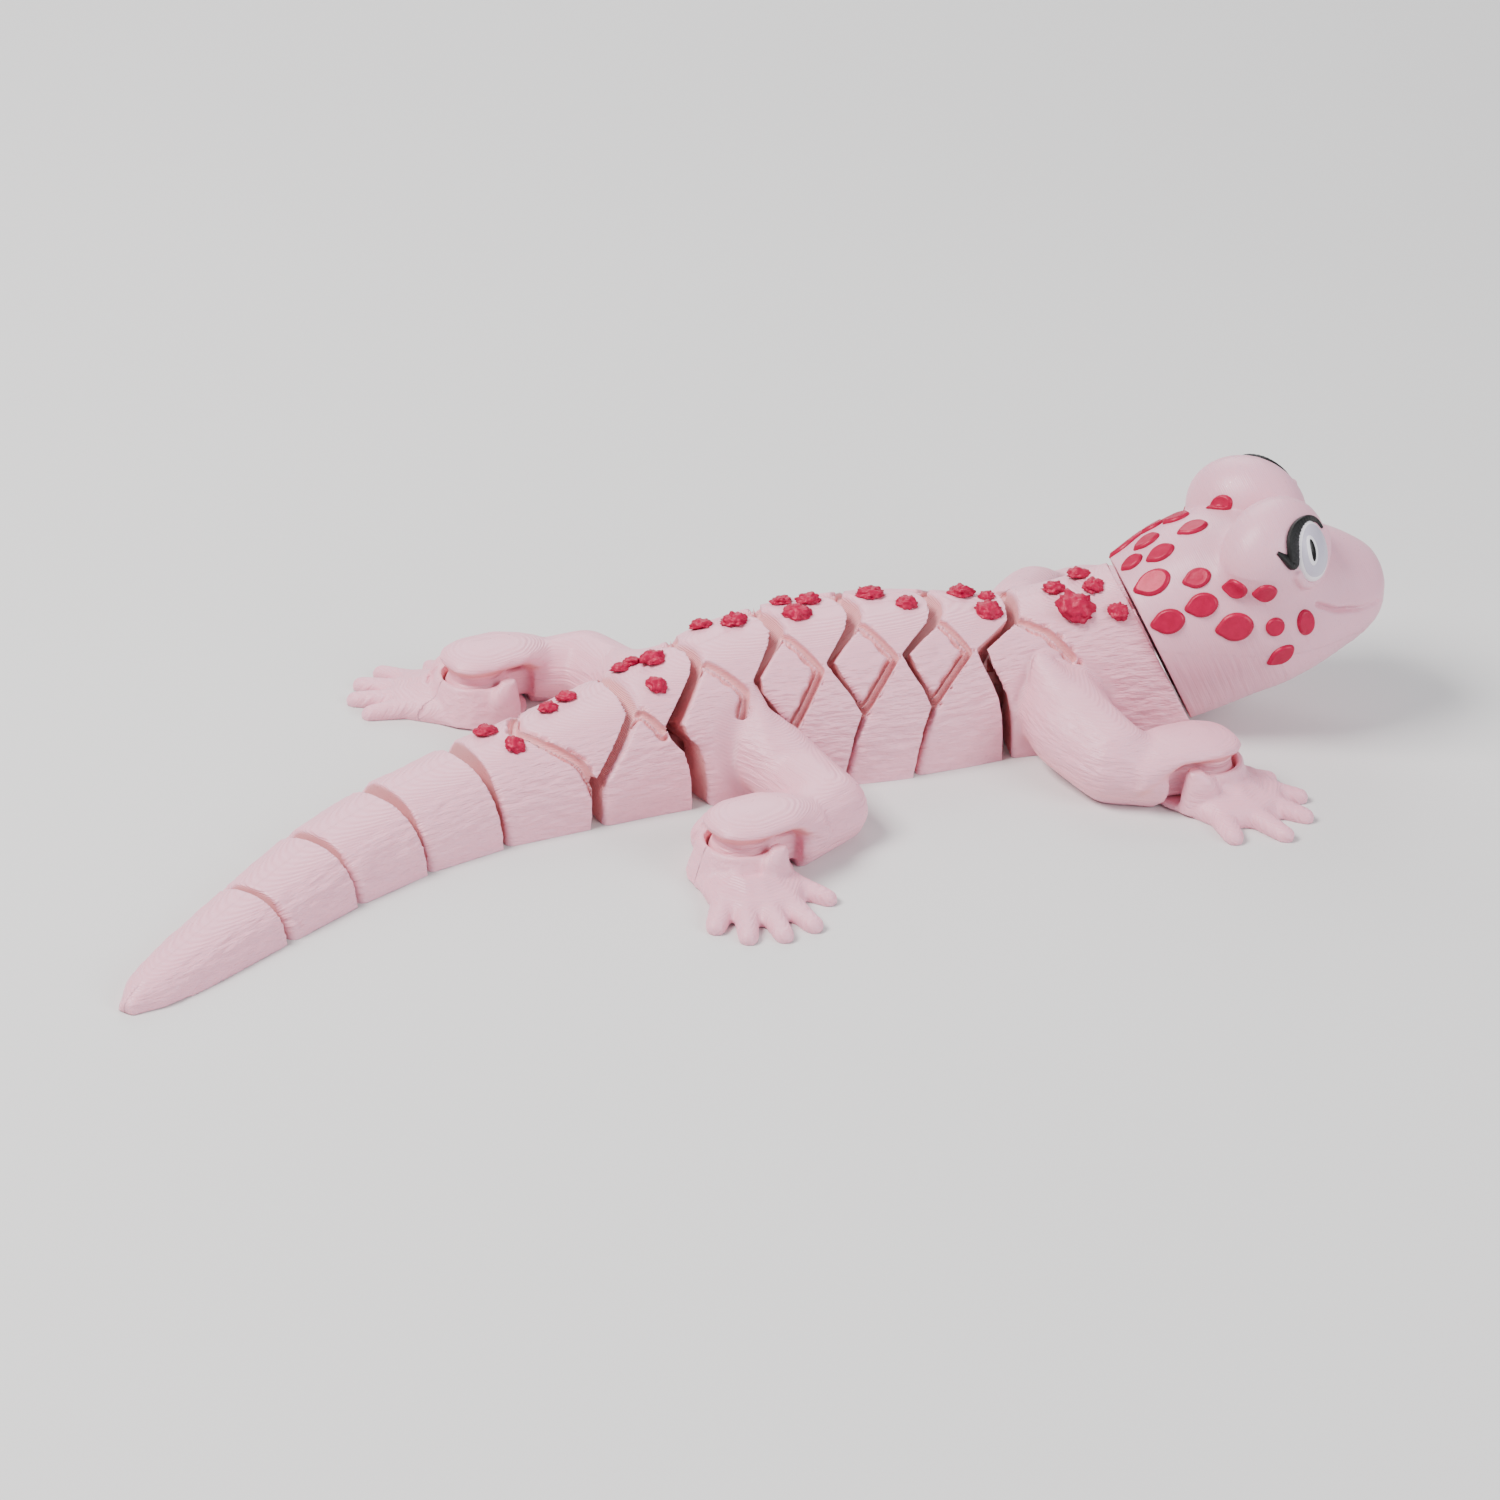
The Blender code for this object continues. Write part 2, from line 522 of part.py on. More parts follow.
def build_foot(name, side, digits, pivot, aim, opening, parts):
    """Flat foot or hand: a pocket round the lobe, a sloping palm and five digits."""
    px, py = pivot[0], mirrored(pivot[1], side)
    centre = (px, py)
    roots = []
    pieces = []
    for turn, reach, root in digits:
        tip = polar(centre, aim + turn, reach - 1.6, side)
        start = polar(centre, aim + turn, root, side)
        roots.append((start[0], start[1], 1.2, 2.1, 0.85))
        pieces.append(ball_hull("digit", [(start[0], start[1], 1.1, 2.2, 0.8),
                                          (tip[0], tip[1], 0.7, 1.6, 0.8)], parts, rings=4, floor=0.06))
    palm = ball_hull(name, [(px, py, 1.0, KNUCKLE - 0.5, 0.52)] + roots, parts, rings=6)
    wall = drum("wall", px, py, 0.3, WALL_TOP, KNUCKLE, parts, 20, top_radius=KNUCKLE - 1.9)
    knuckles = []
    for sign in (-1, 1):
        spot = polar(centre, aim + opening + sign * (MOUTH_HALF + 14.0), (SOCKET + KNUCKLE) / 2, side)
        knuckles.append(drum("knuckle", spot[0], spot[1], 0.4, 7.3, 2.4, parts, 10, top_radius=1.3))
    combine(palm, pieces + [wall] + knuckles, "UNION")
    pocket = drum("pocket", px, py, POCKET_FLOOR, 12, SOCKET, parts, 20)
    bm = bmesh.new()
    fan = [polar(centre, aim + opening + MOUTH_HALF * k / 3, 15.0, side) for k in range(-3, 4)]
    corners = [(px, py)] + fan
    low = [bm.verts.new((x, y, POCKET_FLOOR)) for x, y in corners]
    high = [bm.verts.new((x, y, 12.0)) for x, y in corners]
    bm.faces.new(low)
    bm.faces.new(high)
    for i in range(len(corners)):
        j = (i + 1) % len(corners)
        bm.faces.new((low[i], low[j], high[j], high[i]))
    mouth = mesh_object("mouth", bm, parts)
    combine(palm, [pocket, mouth], "DIFFERENCE")
    combine(palm, [drum("pin", px, py, POCKET_FLOOR / 2, 4.8, FOOT_PIN, parts, 16)], "UNION")
    keep_largest(palm)
    return palm


def head_ring(foot, top, half, inset=0.0, count=24, power=2.2):
    """Closed ring in the plane through its foot and top points."""
    foot = Vector((foot[0], 0, foot[1]))
    top = Vector((top[0], 0, top[1]))
    middle = (foot + top) / 2
    rise = (top - foot) / 2
    rise = rise * (1 - inset / rise.length)
    ring = []
    for k in range(count):
        angle = 2 * math.pi * k / count
        c, d = math.cos(angle), math.sin(angle)
        side = math.copysign(abs(c) ** (2 / power), c) * (half - inset)
        lift = math.copysign(abs(d) ** (2 / power), d)
        ring.append(middle + rise * lift + Vector((0, side, 0)))
    return ring


def eye_axes(side):
    """Directions of one eye: out of the eye, back to the tail, and up."""
    flip = -1 if side == "right" else 1
    turn, tilt = math.radians(EYE_FACING), math.radians(EYE_TILT)
    back = Vector((-math.sin(turn), flip * math.cos(turn), 0))
    out = Vector((math.cos(turn) * math.cos(tilt), flip * math.sin(turn) * math.cos(tilt), math.sin(tilt)))
    up = Vector((-math.cos(turn) * math.sin(tilt), -flip * math.sin(turn) * math.sin(tilt), math.cos(tilt)))
    return out, back, up


def on_dome(side, aside, rise):
    """Point of the dome's skin straight behind a spot of the eye's face."""
    flip = -1 if side == "right" else 1
    out, back, up = eye_axes(side)
    turn = Matrix.Rotation(-flip * math.radians(EYE_FACING), 3, "Z")

    def flatten(vector):
        turned = turn @ vector
        return Vector([turned[i] / DOME_RADII[i] for i in range(3)])
    offset, ray = flatten(back * aside + up * rise), flatten(out)
    a, b, c = ray.dot(ray), offset.dot(ray), offset.dot(offset) - 1.0
    reach = (-b + math.sqrt(max(b * b - a * c, 0.0))) / a
    return Vector((DOME[0], flip * DOME[1], DOME[2])) + back * aside + up * rise + out * reach


def build_eye(name, side, parts, room=0.0):
    """Lens-shaped eye, or its seat when there is room round it."""
    out, back, up = eye_axes(side)
    frame = (Matrix.Translation(on_dome(side, 0.0, 0.0) - out * EYE_SUNK)
             @ Matrix((out, back, up)).transposed().to_4x4())
    bm = bmesh.new()
    bmesh.ops.create_uvsphere(bm, u_segments=14, v_segments=8, radius=1.0)
    bmesh.ops.scale(bm, verts=bm.verts,
                    vec=(EYE_THICK + room, EYE_SIZE[0] + room, EYE_SIZE[1] + room))
    bmesh.ops.transform(bm, matrix=frame, verts=bm.verts)
    return mesh_object(name, bm, parts)


def build_lash(name, side, parts, room=0.0):
    """Thick lash over the back and top of the eye, or its seat when there is room round it."""
    flip = -1 if side == "right" else 1
    centre = Vector((DOME[0], flip * DOME[1], DOME[2]))
    spots = [on_dome(side, aside, rise) for aside, rise, half in LASH]
    rings = []
    for index, spot in enumerate(spots):
        along = (spots[min(index + 1, len(spots) - 1)] - spots[max(index - 1, 0)]).normalized()
        normal = (spot - centre).normalized()
        normal = (normal - along * normal.dot(along)).normalized()
        across = along.cross(normal)
        half, thick = LASH[index][2] + room, LASH_THICK + room
        if room and index in (0, len(spots) - 1):
            spot = spot + along * (room if index else -room)
        middle = spot - normal * LASH_SUNK
        rings.append([middle + across * a * half + normal * b * thick
                      for a, b in ((1, 1), (-1, 1), (-1, -1), (1, -1))])
    return mesh_object(name, loft(rings), parts)


def build_head(parts):
    """Head with its eye domes, and seats for the eyes and the lashes."""
    head = mesh_object("head", loft([head_ring(*ring) for ring in HEAD_RINGS]), parts)
    domes = []
    for flip in (-1, 1):
        bm = bmesh.new()
        bmesh.ops.create_uvsphere(bm, u_segments=18, v_segments=10, radius=1.0)
        bmesh.ops.scale(bm, verts=bm.verts, vec=DOME_RADII)
        bmesh.ops.rotate(bm, verts=bm.verts, matrix=Matrix.Rotation(flip * math.radians(EYE_FACING), 3, "Z"))
        bmesh.ops.translate(bm, verts=bm.verts, vec=(DOME[0], flip * DOME[1], DOME[2]))
        domes.append(mesh_object("dome", bm, parts))
    combine(head, domes, "UNION")
    places = HEAD_SPOTS + CHEEK_SPOTS + [(x, -y, z, radius) for x, y, z, radius in CHEEK_SPOTS]
    spots = []
    for x, y, z, radius in places:
        near = head.closest_point_on_mesh(Vector((x, y, z)) * MM)
        spots.append(lump("spot", near[1] / MM, near[2], radius, parts, 0.5))
    combine(head, spots, "UNION")
    for side in ("right", "left"):
        combine(head, [build_eye("seat", side, parts, FIT), build_lash("seat", side, parts, FIT)],
                "DIFFERENCE")
    keep_largest(head)
    return head


def clear_scene():
    for item in list(bpy.data.objects):
        bpy.data.objects.remove(item, do_unlink=True)


def main():
    clear_scene()
    parts = bpy.data.collections.new("printed_gecko")
    bpy.context.scene.collection.children.link(parts)
    frames = link_frames()
    for index, name in enumerate(LINKS):
        link = build_link(index, parts)
        paint(link, PINK, 0.5)
        pin = pin_of(index)
        link.data.transform(Matrix.Translation(-pin * MM))
        empty = bpy.data.objects.new("axis_" + name, None)
        parts.objects.link(empty)
        world = frames[index].copy()
        empty.location = (world @ pin) * MM
        empty.rotation_euler = (0, 0, math.radians(HEADINGS[index]))
        link.parent = empty
        carried = []
        if name == "hip_link":
            for side in ("right", "left"):
                carried.append((build_limb("leg_" + side, side, LEG, LEG_PIVOT, name, parts), None))
                pivot = (LEG_PIVOT[0] + SHIFT["leg_" + side], LEG_PIVOT[1])
                foot = build_foot("foot_" + side, side, FOOT_DIGITS, pivot, FOOT_AIM[side],
                                  FOOT_OPENING, parts)
                carried.append((foot, pivot))
        if name == "shoulder_link":
            for side in ("right", "left"):
                carried.append((build_limb("arm_" + side, side, ARM, ARM_PIVOT, name, parts), None))
                hand = build_foot("hand_" + side, side, HAND_DIGITS, ARM_PIVOT, HAND_AIM[side],
                                  HAND_OPENING, parts)
                carried.append((hand, ARM_PIVOT))
            carried.append((build_head(parts), None))
            for side in ("right", "left"):
                carried.append((build_eye("eye_" + side, side, parts), None))
                carried.append((build_lash("lash_" + side, side, parts), None))
        for piece, pivot in carried:
            kind = piece.name.split("_")[0]
            paint(piece, {"eye": LILAC, "lash": DARK}.get(kind, PINK), 0.5)
            if pivot is None:
                piece.data.transform(Matrix.Translation(-pin * MM))
                piece.parent = empty
            else:
                side = "right" if piece.name.endswith("right") else "left"
                axis = Vector((pivot[0], mirrored(pivot[1], side), 0))
                piece.data.transform(Matrix.Translation(-axis * MM))
                joint = bpy.data.objects.new("axis_" + piece.name, None)
                parts.objects.link(joint)
                joint.parent = empty
                joint.location = (axis - pin) * MM
                piece.parent = joint


def pin_of(index):
    """Point of a link's own joint, on the side towards the root."""
    if index == ROOT:
        return Vector((CUTS[ROOT - 1][2][0], 0, 0))
    cut = index - 1 if index > ROOT else index
    return Vector((CUTS[cut][2][0] + joint_size(cut)["ahead"], 0, 0))


main()
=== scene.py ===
"""Pink printed toy gecko, jointed along the body, with glossy red spots and lashed eyes.

Sizes are in millimetres unless a name says otherwise. Each link of the body has a
straight frame of its own: x is the distance from the tail tip along the uncurled
toy, y goes to its left and z up.
"""
import json
import math

import bmesh
import bpy
from mathutils import Matrix, Vector, noise


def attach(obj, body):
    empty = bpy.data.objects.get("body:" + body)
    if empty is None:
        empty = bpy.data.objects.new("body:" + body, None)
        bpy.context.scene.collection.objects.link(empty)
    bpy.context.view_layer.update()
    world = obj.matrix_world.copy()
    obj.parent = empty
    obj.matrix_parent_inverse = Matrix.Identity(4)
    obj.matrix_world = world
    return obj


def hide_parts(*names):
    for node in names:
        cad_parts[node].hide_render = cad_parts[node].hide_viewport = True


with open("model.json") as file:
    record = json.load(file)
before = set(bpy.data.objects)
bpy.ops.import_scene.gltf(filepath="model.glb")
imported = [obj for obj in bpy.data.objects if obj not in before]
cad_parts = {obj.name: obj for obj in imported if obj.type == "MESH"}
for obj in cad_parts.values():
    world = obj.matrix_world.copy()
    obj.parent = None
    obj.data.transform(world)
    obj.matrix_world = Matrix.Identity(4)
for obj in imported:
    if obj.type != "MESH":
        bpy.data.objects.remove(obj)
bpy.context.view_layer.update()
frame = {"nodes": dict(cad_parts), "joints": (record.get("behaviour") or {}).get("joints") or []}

MM = 0.001
FINE = 0.26       # grid of the remeshed skins
scene = bpy.context.scene
nodes = frame["nodes"]

# Links of the body, tail tip to head: eleven printed blocks in pink plastic, with
# grooves and fine strokes carved on the flanks and layer rings on the tops. Each is
# the solid's own shape, remeshed finely, with its facets rounded out to the arch.
BODY = [
    (0.0, 1.3, 1.7), (3.0, 3.2, 3.3), (10.0, 4.9, 4.6), (28.5, 7.1, 6.5), (43.5, 8.6, 8.3),
    (58.0, 9.6, 9.8), (73.0, 10.5, 11.7), (89.0, 11.6, 14.6), (98.0, 12.2, 16.8),
    (106.0, 13.1, 18.9), (118.0, 15.3, 21.1), (131.0, 17.4, 22.0), (145.0, 17.9, 21.9),
    (155.0, 16.3, 21.2), (163.0, 14.4, 20.6), (172.0, 13.4, 22.2), (183.0, 13.0, 25.6),
]
ARCH = 2.3
# Rear edge of each link on its flank: angles up the arch and distances there.
REAR = {
    "tail_link_3": ((0, 90), (29.0, 29.0)),
    "tail_link_2": ((0, 90), (43.9, 43.9)),
    "tail_link_1": ((0, 90), (59.1, 58.7)),
    "tail_base": ((0, 90), (74.6, 73.6)),
    "rump_link": ((0, 24, 62, 90), (90.7, 91.2, 99.7, 99.9)),
    "hip_link": ((0, 14, 26, 42, 76, 90), (107.1, 107.1, 106.3, 103.4, 111.8, 112.6)),
    "torso_link_1": ((0, 14, 23, 50, 78, 90), (120.5, 122.1, 123.7, 118.8, 127.1, 127.7)),
    "torso_link_2": ((0, 16, 28, 53, 77, 90), (134.1, 135.7, 137.8, 133.2, 140.5, 141.5)),
    "torso_link_3": ((0, 16, 28, 53, 75, 90), (147.8, 149.2, 151.1, 146.8, 154.2, 155.2)),
    "shoulder_link": ((0, 16, 28, 53, 71, 90), (164.5, 164.3, 163.5, 160.0, 166.5, 167.1)),
}
REAR_ROUND = 1.2
SKIN_LOW = 0.962     # share of the arch's size where the outer skin starts,
SKIN_HIGH = 0.982    # and from where all of it is skin
TIP_END = 9.0        # the tail's rounded tip, up to this distance
# Joint that places each link, its pin's cut along the straight toy, and the heading.
LINKS = {
    "tail_tip": ("tail_tip", 28.3, 26.4), "tail_link_3": ("tail_link_3", 43.0, 24.8),
    "tail_link_2": ("tail_link_2", 58.0, 18.0), "tail_link_1": ("tail_link_1", 73.4, 8.0),
    "tail_base": ("tail_base", 89.5, -0.8), "rump_link": ("rump_link", 106.1, -1.5),
    "hip_link": ("rump_link", 106.1, 3.0), "torso_link_1": ("torso_link_1", 119.0, -6.0),
    "torso_link_2": ("torso_link_2", 132.6, -14.0), "torso_link_3": ("torso_link_3", 146.4, -20.5),
    "shoulder_link": ("shoulder_link", 163.4, -22.8),
}
PIN_AHEAD = 3.2
SKIN_PINK = (0.900, 0.440, 0.540, 1.0)
# Painted shade: a deeper pink laid on the walls inside the gaps and grooves, in the paws' pockets and under
# the limbs, where shade falls on the same plastic.
GAP_SHADE_PINK = (0.860, 0.360, 0.385, 1.0)
LAYER = 0.2
STROKE_DEEP = 0.24
# Grooves of the flanks, as paths of (distance, angle), and their own profile.
GROOVES = {
    "tail_base": [(80.8, 94), (83.5, 70), (88.0, 42), (89.6, 22)],
    "rump_link": [(98.9, 63), (100.4, 54), (102.0, 41)],
    "hip_link": [(111.4, 77), (115.4, 49), (112.4, 26)],
    "torso_link_1": [(125.9, 79), (129.6, 51), (122.8, 22)],
    "torso_link_2": [(139.3, 78), (143.6, 53), (137.0, 27)],
    "torso_link_3": [(153.0, 76), (157.2, 53), (150.4, 27)],
    "shoulder_link": [(165.6, 72), (170.4, 58), (174.6, 38)],
}
GROOVE_HALF = 0.75
GROOVE_LIP = 0.4
LIMB_NEAR = 7.5      # half width of the band where a limb grows out of its link,
LIMB_INNER = 6.0     # its least distance aside
LIMB_TOP = 18.0      # and its top
GROOVE_DEEP = 1.25


def smooth_step(low, high, value):
    share = min(max((value - low) / (high - low), 0.0), 1.0)
    return share * share * (3.0 - 2.0 * share)


def body_size(s):
    """Half width and height of the body's arch at distance s."""
    s = min(max(s, BODY[0][0]), BODY[-1][0])
    index = min(max(i for i, row in enumerate(BODY) if row[0] <= s), len(BODY) - 2)
    before, here, after, beyond = (BODY[max(index - 1, 0)], BODY[index], BODY[index + 1],
                                   BODY[min(index + 2, len(BODY) - 1)])
    span = after[0] - here[0]
    u = (s - here[0]) / span
    sizes = []
    for k in (1, 2):
        slope_here = (after[k] - before[k]) / (after[0] - before[0])
        slope_after = (beyond[k] - here[k]) / (beyond[0] - here[0])
        sizes.append((2 * u ** 3 - 3 * u ** 2 + 1) * here[k] + (u ** 3 - 2 * u ** 2 + u) * span * slope_here
                     + (3 * u ** 2 - 2 * u ** 3) * after[k] + (u ** 3 - u ** 2) * span * slope_after)
    return sizes


SIZES = [body_size(i / 4) for i in range(4 * 184)]


def quick_size(s):
    return SIZES[min(max(int(s * 4 + 0.5), 0), len(SIZES) - 1)]


def place_of(link):
    """Matrix from a link's straight frame, in millimetres, to the row frame."""
    child, cut, heading = LINKS[link]
    joint = next(j for j in frame["joints"] if j["child"] == child)
    pin = cut + PIN_AHEAD * min(1.0, body_size(cut)[1] / 14.0)
    x, y = joint["pos_m"][0], joint["pos_m"][1]
    return (Matrix.Translation((x, y, 0)) @ Matrix.Rotation(math.radians(heading), 4, "Z")
            @ Matrix.Scale(MM, 4) @ Matrix.Translation((-pin, 0, 0)))


def rear_edge(link, t):
    """Distance of a link's rear edge at angle t on the flank."""
    levels, places = REAR[link]
    for low, high, a, b in zip(levels, levels[1:], places, places[1:]):
        if t <= high:
            return a + (b - a) * (t - low) / (high - low)
    return places[-1]


def new_object(name, bm):
    mesh = bpy.data.meshes.new(name)
    bm.to_mesh(mesh)
    bm.free()
    item = bpy.data.objects.new(name, mesh)
    scene.collection.objects.link(item)
    return item


def remeshed(name, bm, grid):
    """Object skinned by a fine grid round everything in a bmesh."""
    item = new_object(name, bm)
    modifier = item.modifiers.new("grid", "REMESH")
    modifier.mode = "VOXEL"
    modifier.voxel_size = grid * MM
    modifier.use_smooth_shade = True
    depsgraph = bpy.context.evaluated_depsgraph_get()
    mesh = bpy.data.meshes.new_from_object(item.evaluated_get(depsgraph))
    item.modifiers.clear()
    item.data = mesh
    return item


def merged_copy(node, grow=0.0):
    """Merged copy of a node's mesh, grown outwards by a small amount."""
    bm = bmesh.new()
    bm.from_mesh(nodes[node].data)
    bmesh.ops.remove_doubles(bm, verts=bm.verts, dist=0.000005)
    bmesh.ops.recalc_face_normals(bm, faces=bm.faces)
    bm.normal_update()
    if grow:
        for vert, normal in [(v, v.normal.copy()) for v in bm.verts]:
            vert.co += normal * grow * MM
    return bm


def add_to(bm, other):
    """Put another bmesh's faces into a bmesh."""
    mesh = bpy.data.meshes.new("held")
    other.to_mesh(mesh)
    other.free()
    bm.from_mesh(mesh)
    bpy.data.meshes.remove(mesh)


def strokes(along, across, seed):
    """Height of the carved strokes, from 0 in a groove to 1 on a crest."""
    bend = 0.55 * noise.noise(Vector((along / 3.5, across / 3.0, seed)))
    fine = noise.noise(Vector((along / 2.4, (across + bend) / 0.66, seed + 5.0)))
    coarse = noise.noise(Vector((along / 4.2, (across + bend) / 1.15, seed + 9.0)))
    return 0.5 + 0.70 * fine + 0.75 * coarse


def near_line(line, point):
    """Distance from a point to a chain of points."""
    best = 1e9
    for a, b in zip(line, line[1:]):
        leg = b - a
        share = min(max((point - a).dot(leg) / leg.length_squared, 0.0), 1.0)
        best = min(best, (point - a - leg * share).length)
    return best


def arch_point(s, t, out=0.0):
    """Point on the body's arch at distance s and angle t, raised by out."""
    half, height = body_size(s)
    angle = math.radians(t)
    side = -math.copysign(abs(math.cos(angle)) ** (2 / ARCH), math.cos(angle))
    return Vector((s, side * (half + out), (height + out) * abs(math.sin(angle)) ** (2 / ARCH)))


def skin_points(item):
    """Place and normal of every vertex, read before any is moved."""
    mesh = item.data
    return [(v.co.copy(), n.vector.copy()) for v, n in zip(mesh.vertices, mesh.vertex_normals)]


def write_skin(item, places, values):
    """Move the vertices and store the shader's values: grain, layer, flank and the painted shade mask for the
    gaps and undersides.
    """
    mesh = item.data
    for place in places:
        place.z = max(place.z, 0.0)
    mesh.vertices.foreach_set("co", [x for place in places for x in place])
    for name, kind in (("grain", "FLOAT_VECTOR"), ("layer", "FLOAT"), ("flank", "FLOAT"), ("gap", "FLOAT")):
        mesh.attributes.new(name, kind, "POINT")
    mesh.attributes["grain"].data.foreach_set("vector", [x for row in values for x in row[0]])
    for place, name in enumerate(("layer", "flank", "gap"), 1):
        mesh.attributes[name].data.foreach_set("value", [row[place] for row in values])
    for polygon in mesh.polygons:
        polygon.use_smooth = True


def new_group(name, inputs, outputs):
    """Empty shader group with named sockets; inputs are (name, kind)."""
    group = bpy.data.node_groups.new(name, "ShaderNodeTree")
    for socket, kind in inputs:
        group.interface.new_socket(socket, in_out="INPUT", socket_type=kind)
    for socket, kind in outputs:
        group.interface.new_socket(socket, in_out="OUTPUT", socket_type=kind)
    return group, group.nodes.new("NodeGroupInput"), group.nodes.new("NodeGroupOutput")


def math_node(tree, operation, first, second=None, clamp=False):
    """Math node; each input is a socket or a number."""
    node = tree.nodes.new("ShaderNodeMath")
    node.operation = operation
    node.use_clamp = clamp
    for socket, value in zip(node.inputs, (first, second)):
        if value is None:
            continue
        if isinstance(value, bpy.types.NodeSocket):
            tree.links.new(value, socket)
        else:
            socket.default_value = value
    return node.outputs[0]


def noise_node(tree, vector, scale, detail=2.0, roughness=0.5):
    node = tree.nodes.new("ShaderNodeTexNoise")
    node.inputs["Scale"].default_value = scale
    node.inputs["Detail"].default_value = detail
    node.inputs["Roughness"].default_value = roughness
    if vector is not None:
        tree.links.new(vector, node.inputs["Vector"])
    return node.outputs["Fac"]


def scaled(tree, vector, scale):
    node = tree.nodes.new("ShaderNodeMapping")
    node.inputs["Scale"].default_value = scale
    tree.links.new(vector, node.inputs["Vector"])
    return node.outputs["Vector"]


def mixed(tree, share, first, second, blend="MIX"):
    """Colour mix; share, first and second are sockets or values."""
    node = tree.nodes.new("ShaderNodeMix")
    node.data_type = "RGBA"
    node.blend_type = blend
    for socket, value in ((node.inputs["Factor"], share), (node.inputs[6], first), (node.inputs[7], second)):
        if isinstance(value, bpy.types.NodeSocket):
            tree.links.new(value, socket)
        else:
            socket.default_value = value
    return node.outputs[2]


# Relief of the print: short strokes on the flanks and a ring for each layer on the tops.
relief, source, sink = new_group("print_relief",
                                 [("Grain", "NodeSocketVector"), ("Layer", "NodeSocketFloat"),
                                  ("Flank", "NodeSocketFloat")],
                                 [("Height", "NodeSocketFloat")])
stroke = noise_node(relief, scaled(relief, source.outputs["Grain"], (0.40, 1.75, 1.0)), 1.0, 2.0, 0.55)
stroke = math_node(relief, "MULTIPLY_ADD", stroke, 2.6, clamp=True)
stroke.node.inputs[2].default_value = -0.8
amount = math_node(relief, "MULTIPLY", source.outputs["Flank"], 0.92)
stroke = math_node(relief, "MULTIPLY", stroke, amount)
ring = math_node(relief, "SINE", math_node(relief, "MULTIPLY", source.outputs["Layer"], 2 * math.pi / LAYER))
top = math_node(relief, "SUBTRACT", 1.0, source.outputs["Flank"], clamp=True)
ring = math_node(relief, "MULTIPLY", ring, math_node(relief, "MULTIPLY", top, 0.16))
relief.links.new(math_node(relief, "ADD", stroke, ring), sink.inputs["Height"])

# Flecks of the plastic: a few tiny facets that catch the light.
flecks, source, sink = new_group("print_flecks", [("Vector", "NodeSocketVector")],
                                 [("Mask", "NodeSocketFloat")])
cells = flecks.nodes.new("ShaderNodeTexVoronoi")
cells.inputs["Scale"].default_value = 2300.0
flecks.links.new(source.outputs["Vector"], cells.inputs["Vector"])
split = flecks.nodes.new("ShaderNodeSeparateColor")
flecks.links.new(cells.outputs["Color"], split.inputs["Color"])
rare = math_node(flecks, "GREATER_THAN", split.outputs[0], 0.93)
near = math_node(flecks, "LESS_THAN", cells.outputs["Distance"], 0.33)
flecks.links.new(math_node(flecks, "MULTIPLY", rare, near), sink.inputs["Mask"])


def printed(name, colour, gap_colour, roughness=0.40, relief_deep=0.00022):
    """Satin printed plastic, with painted shade: a deeper pink in the gaps, grooves and pockets and under the
    limbs.
    """
    material = bpy.data.materials.new(name)
    material.use_nodes = True
    tree = material.node_tree
    shader = tree.nodes["Principled BSDF"]
    coords = tree.nodes.new("ShaderNodeTexCoord")
    held = {}
    for key in ("grain", "layer", "flank", "gap"):
        held[key] = tree.nodes.new("ShaderNodeAttribute")
        held[key].attribute_name = key
    relief_node = tree.nodes.new("ShaderNodeGroup")
    relief_node.node_tree = bpy.data.node_groups["print_relief"]
    tree.links.new(held["grain"].outputs["Vector"], relief_node.inputs["Grain"])
    tree.links.new(held["layer"].outputs["Fac"], relief_node.inputs["Layer"])
    tree.links.new(held["flank"].outputs["Fac"], relief_node.inputs["Flank"])
    fleck_node = tree.nodes.new("ShaderNodeGroup")
    fleck_node.node_tree = bpy.data.node_groups["print_flecks"]
    tree.links.new(coords.outputs["Object"], fleck_node.inputs["Vector"])
    cloud = noise_node(tree, coords.outputs["Object"], 160.0, 3.0)
    base = mixed(tree, math_node(tree, "MULTIPLY", cloud, 0.22), colour,
                 (colour[0] * 0.88, colour[1] * 0.82, colour[2] * 0.86, 1.0))
    # Painted shade: this mask mixes in the deeper pink where the walls lie in shade.
    base = mixed(tree, held["gap"].outputs["Fac"], base, gap_colour)
    tree.links.new(base, shader.inputs["Base Color"])
    rough = math_node(tree, "MULTIPLY_ADD", fleck_node.outputs["Mask"], -0.26)
    rough.node.inputs[2].default_value = roughness
    tree.links.new(rough, shader.inputs["Roughness"])
    bump = tree.nodes.new("ShaderNodeBump")
    bump.inputs["Strength"].default_value = 0.9
    bump.inputs["Distance"].default_value = relief_deep
    tree.links.new(relief_node.outputs["Height"], bump.inputs["Height"])
    tree.links.new(bump.outputs["Normal"], shader.inputs["Normal"])
    shader.inputs["Specular IOR Level"].default_value = 0.50
    shader.inputs["Subsurface Weight"].default_value = 0.15
    shader.inputs["Subsurface Scale"].default_value = 0.0012
    shader.inputs["Subsurface Radius"].default_value = (1.0, 0.45, 0.4)
    return material


skin = printed("printed_pink", SKIN_PINK, GAP_SHADE_PINK)


def soften(item, keep, passes):
    """Smooth the vertices that keep(co) doesn't hold."""
    bm = bmesh.new()
    bm.from_mesh(item.data)
    loose = [v for v in bm.verts if not keep(v.co)]
    for step in range(passes):
        bmesh.ops.smooth_vert(bm, verts=loose, factor=0.5, use_axis_x=True, use_axis_y=True, use_axis_z=True)
    bm.to_mesh(item.data)
    bm.free()


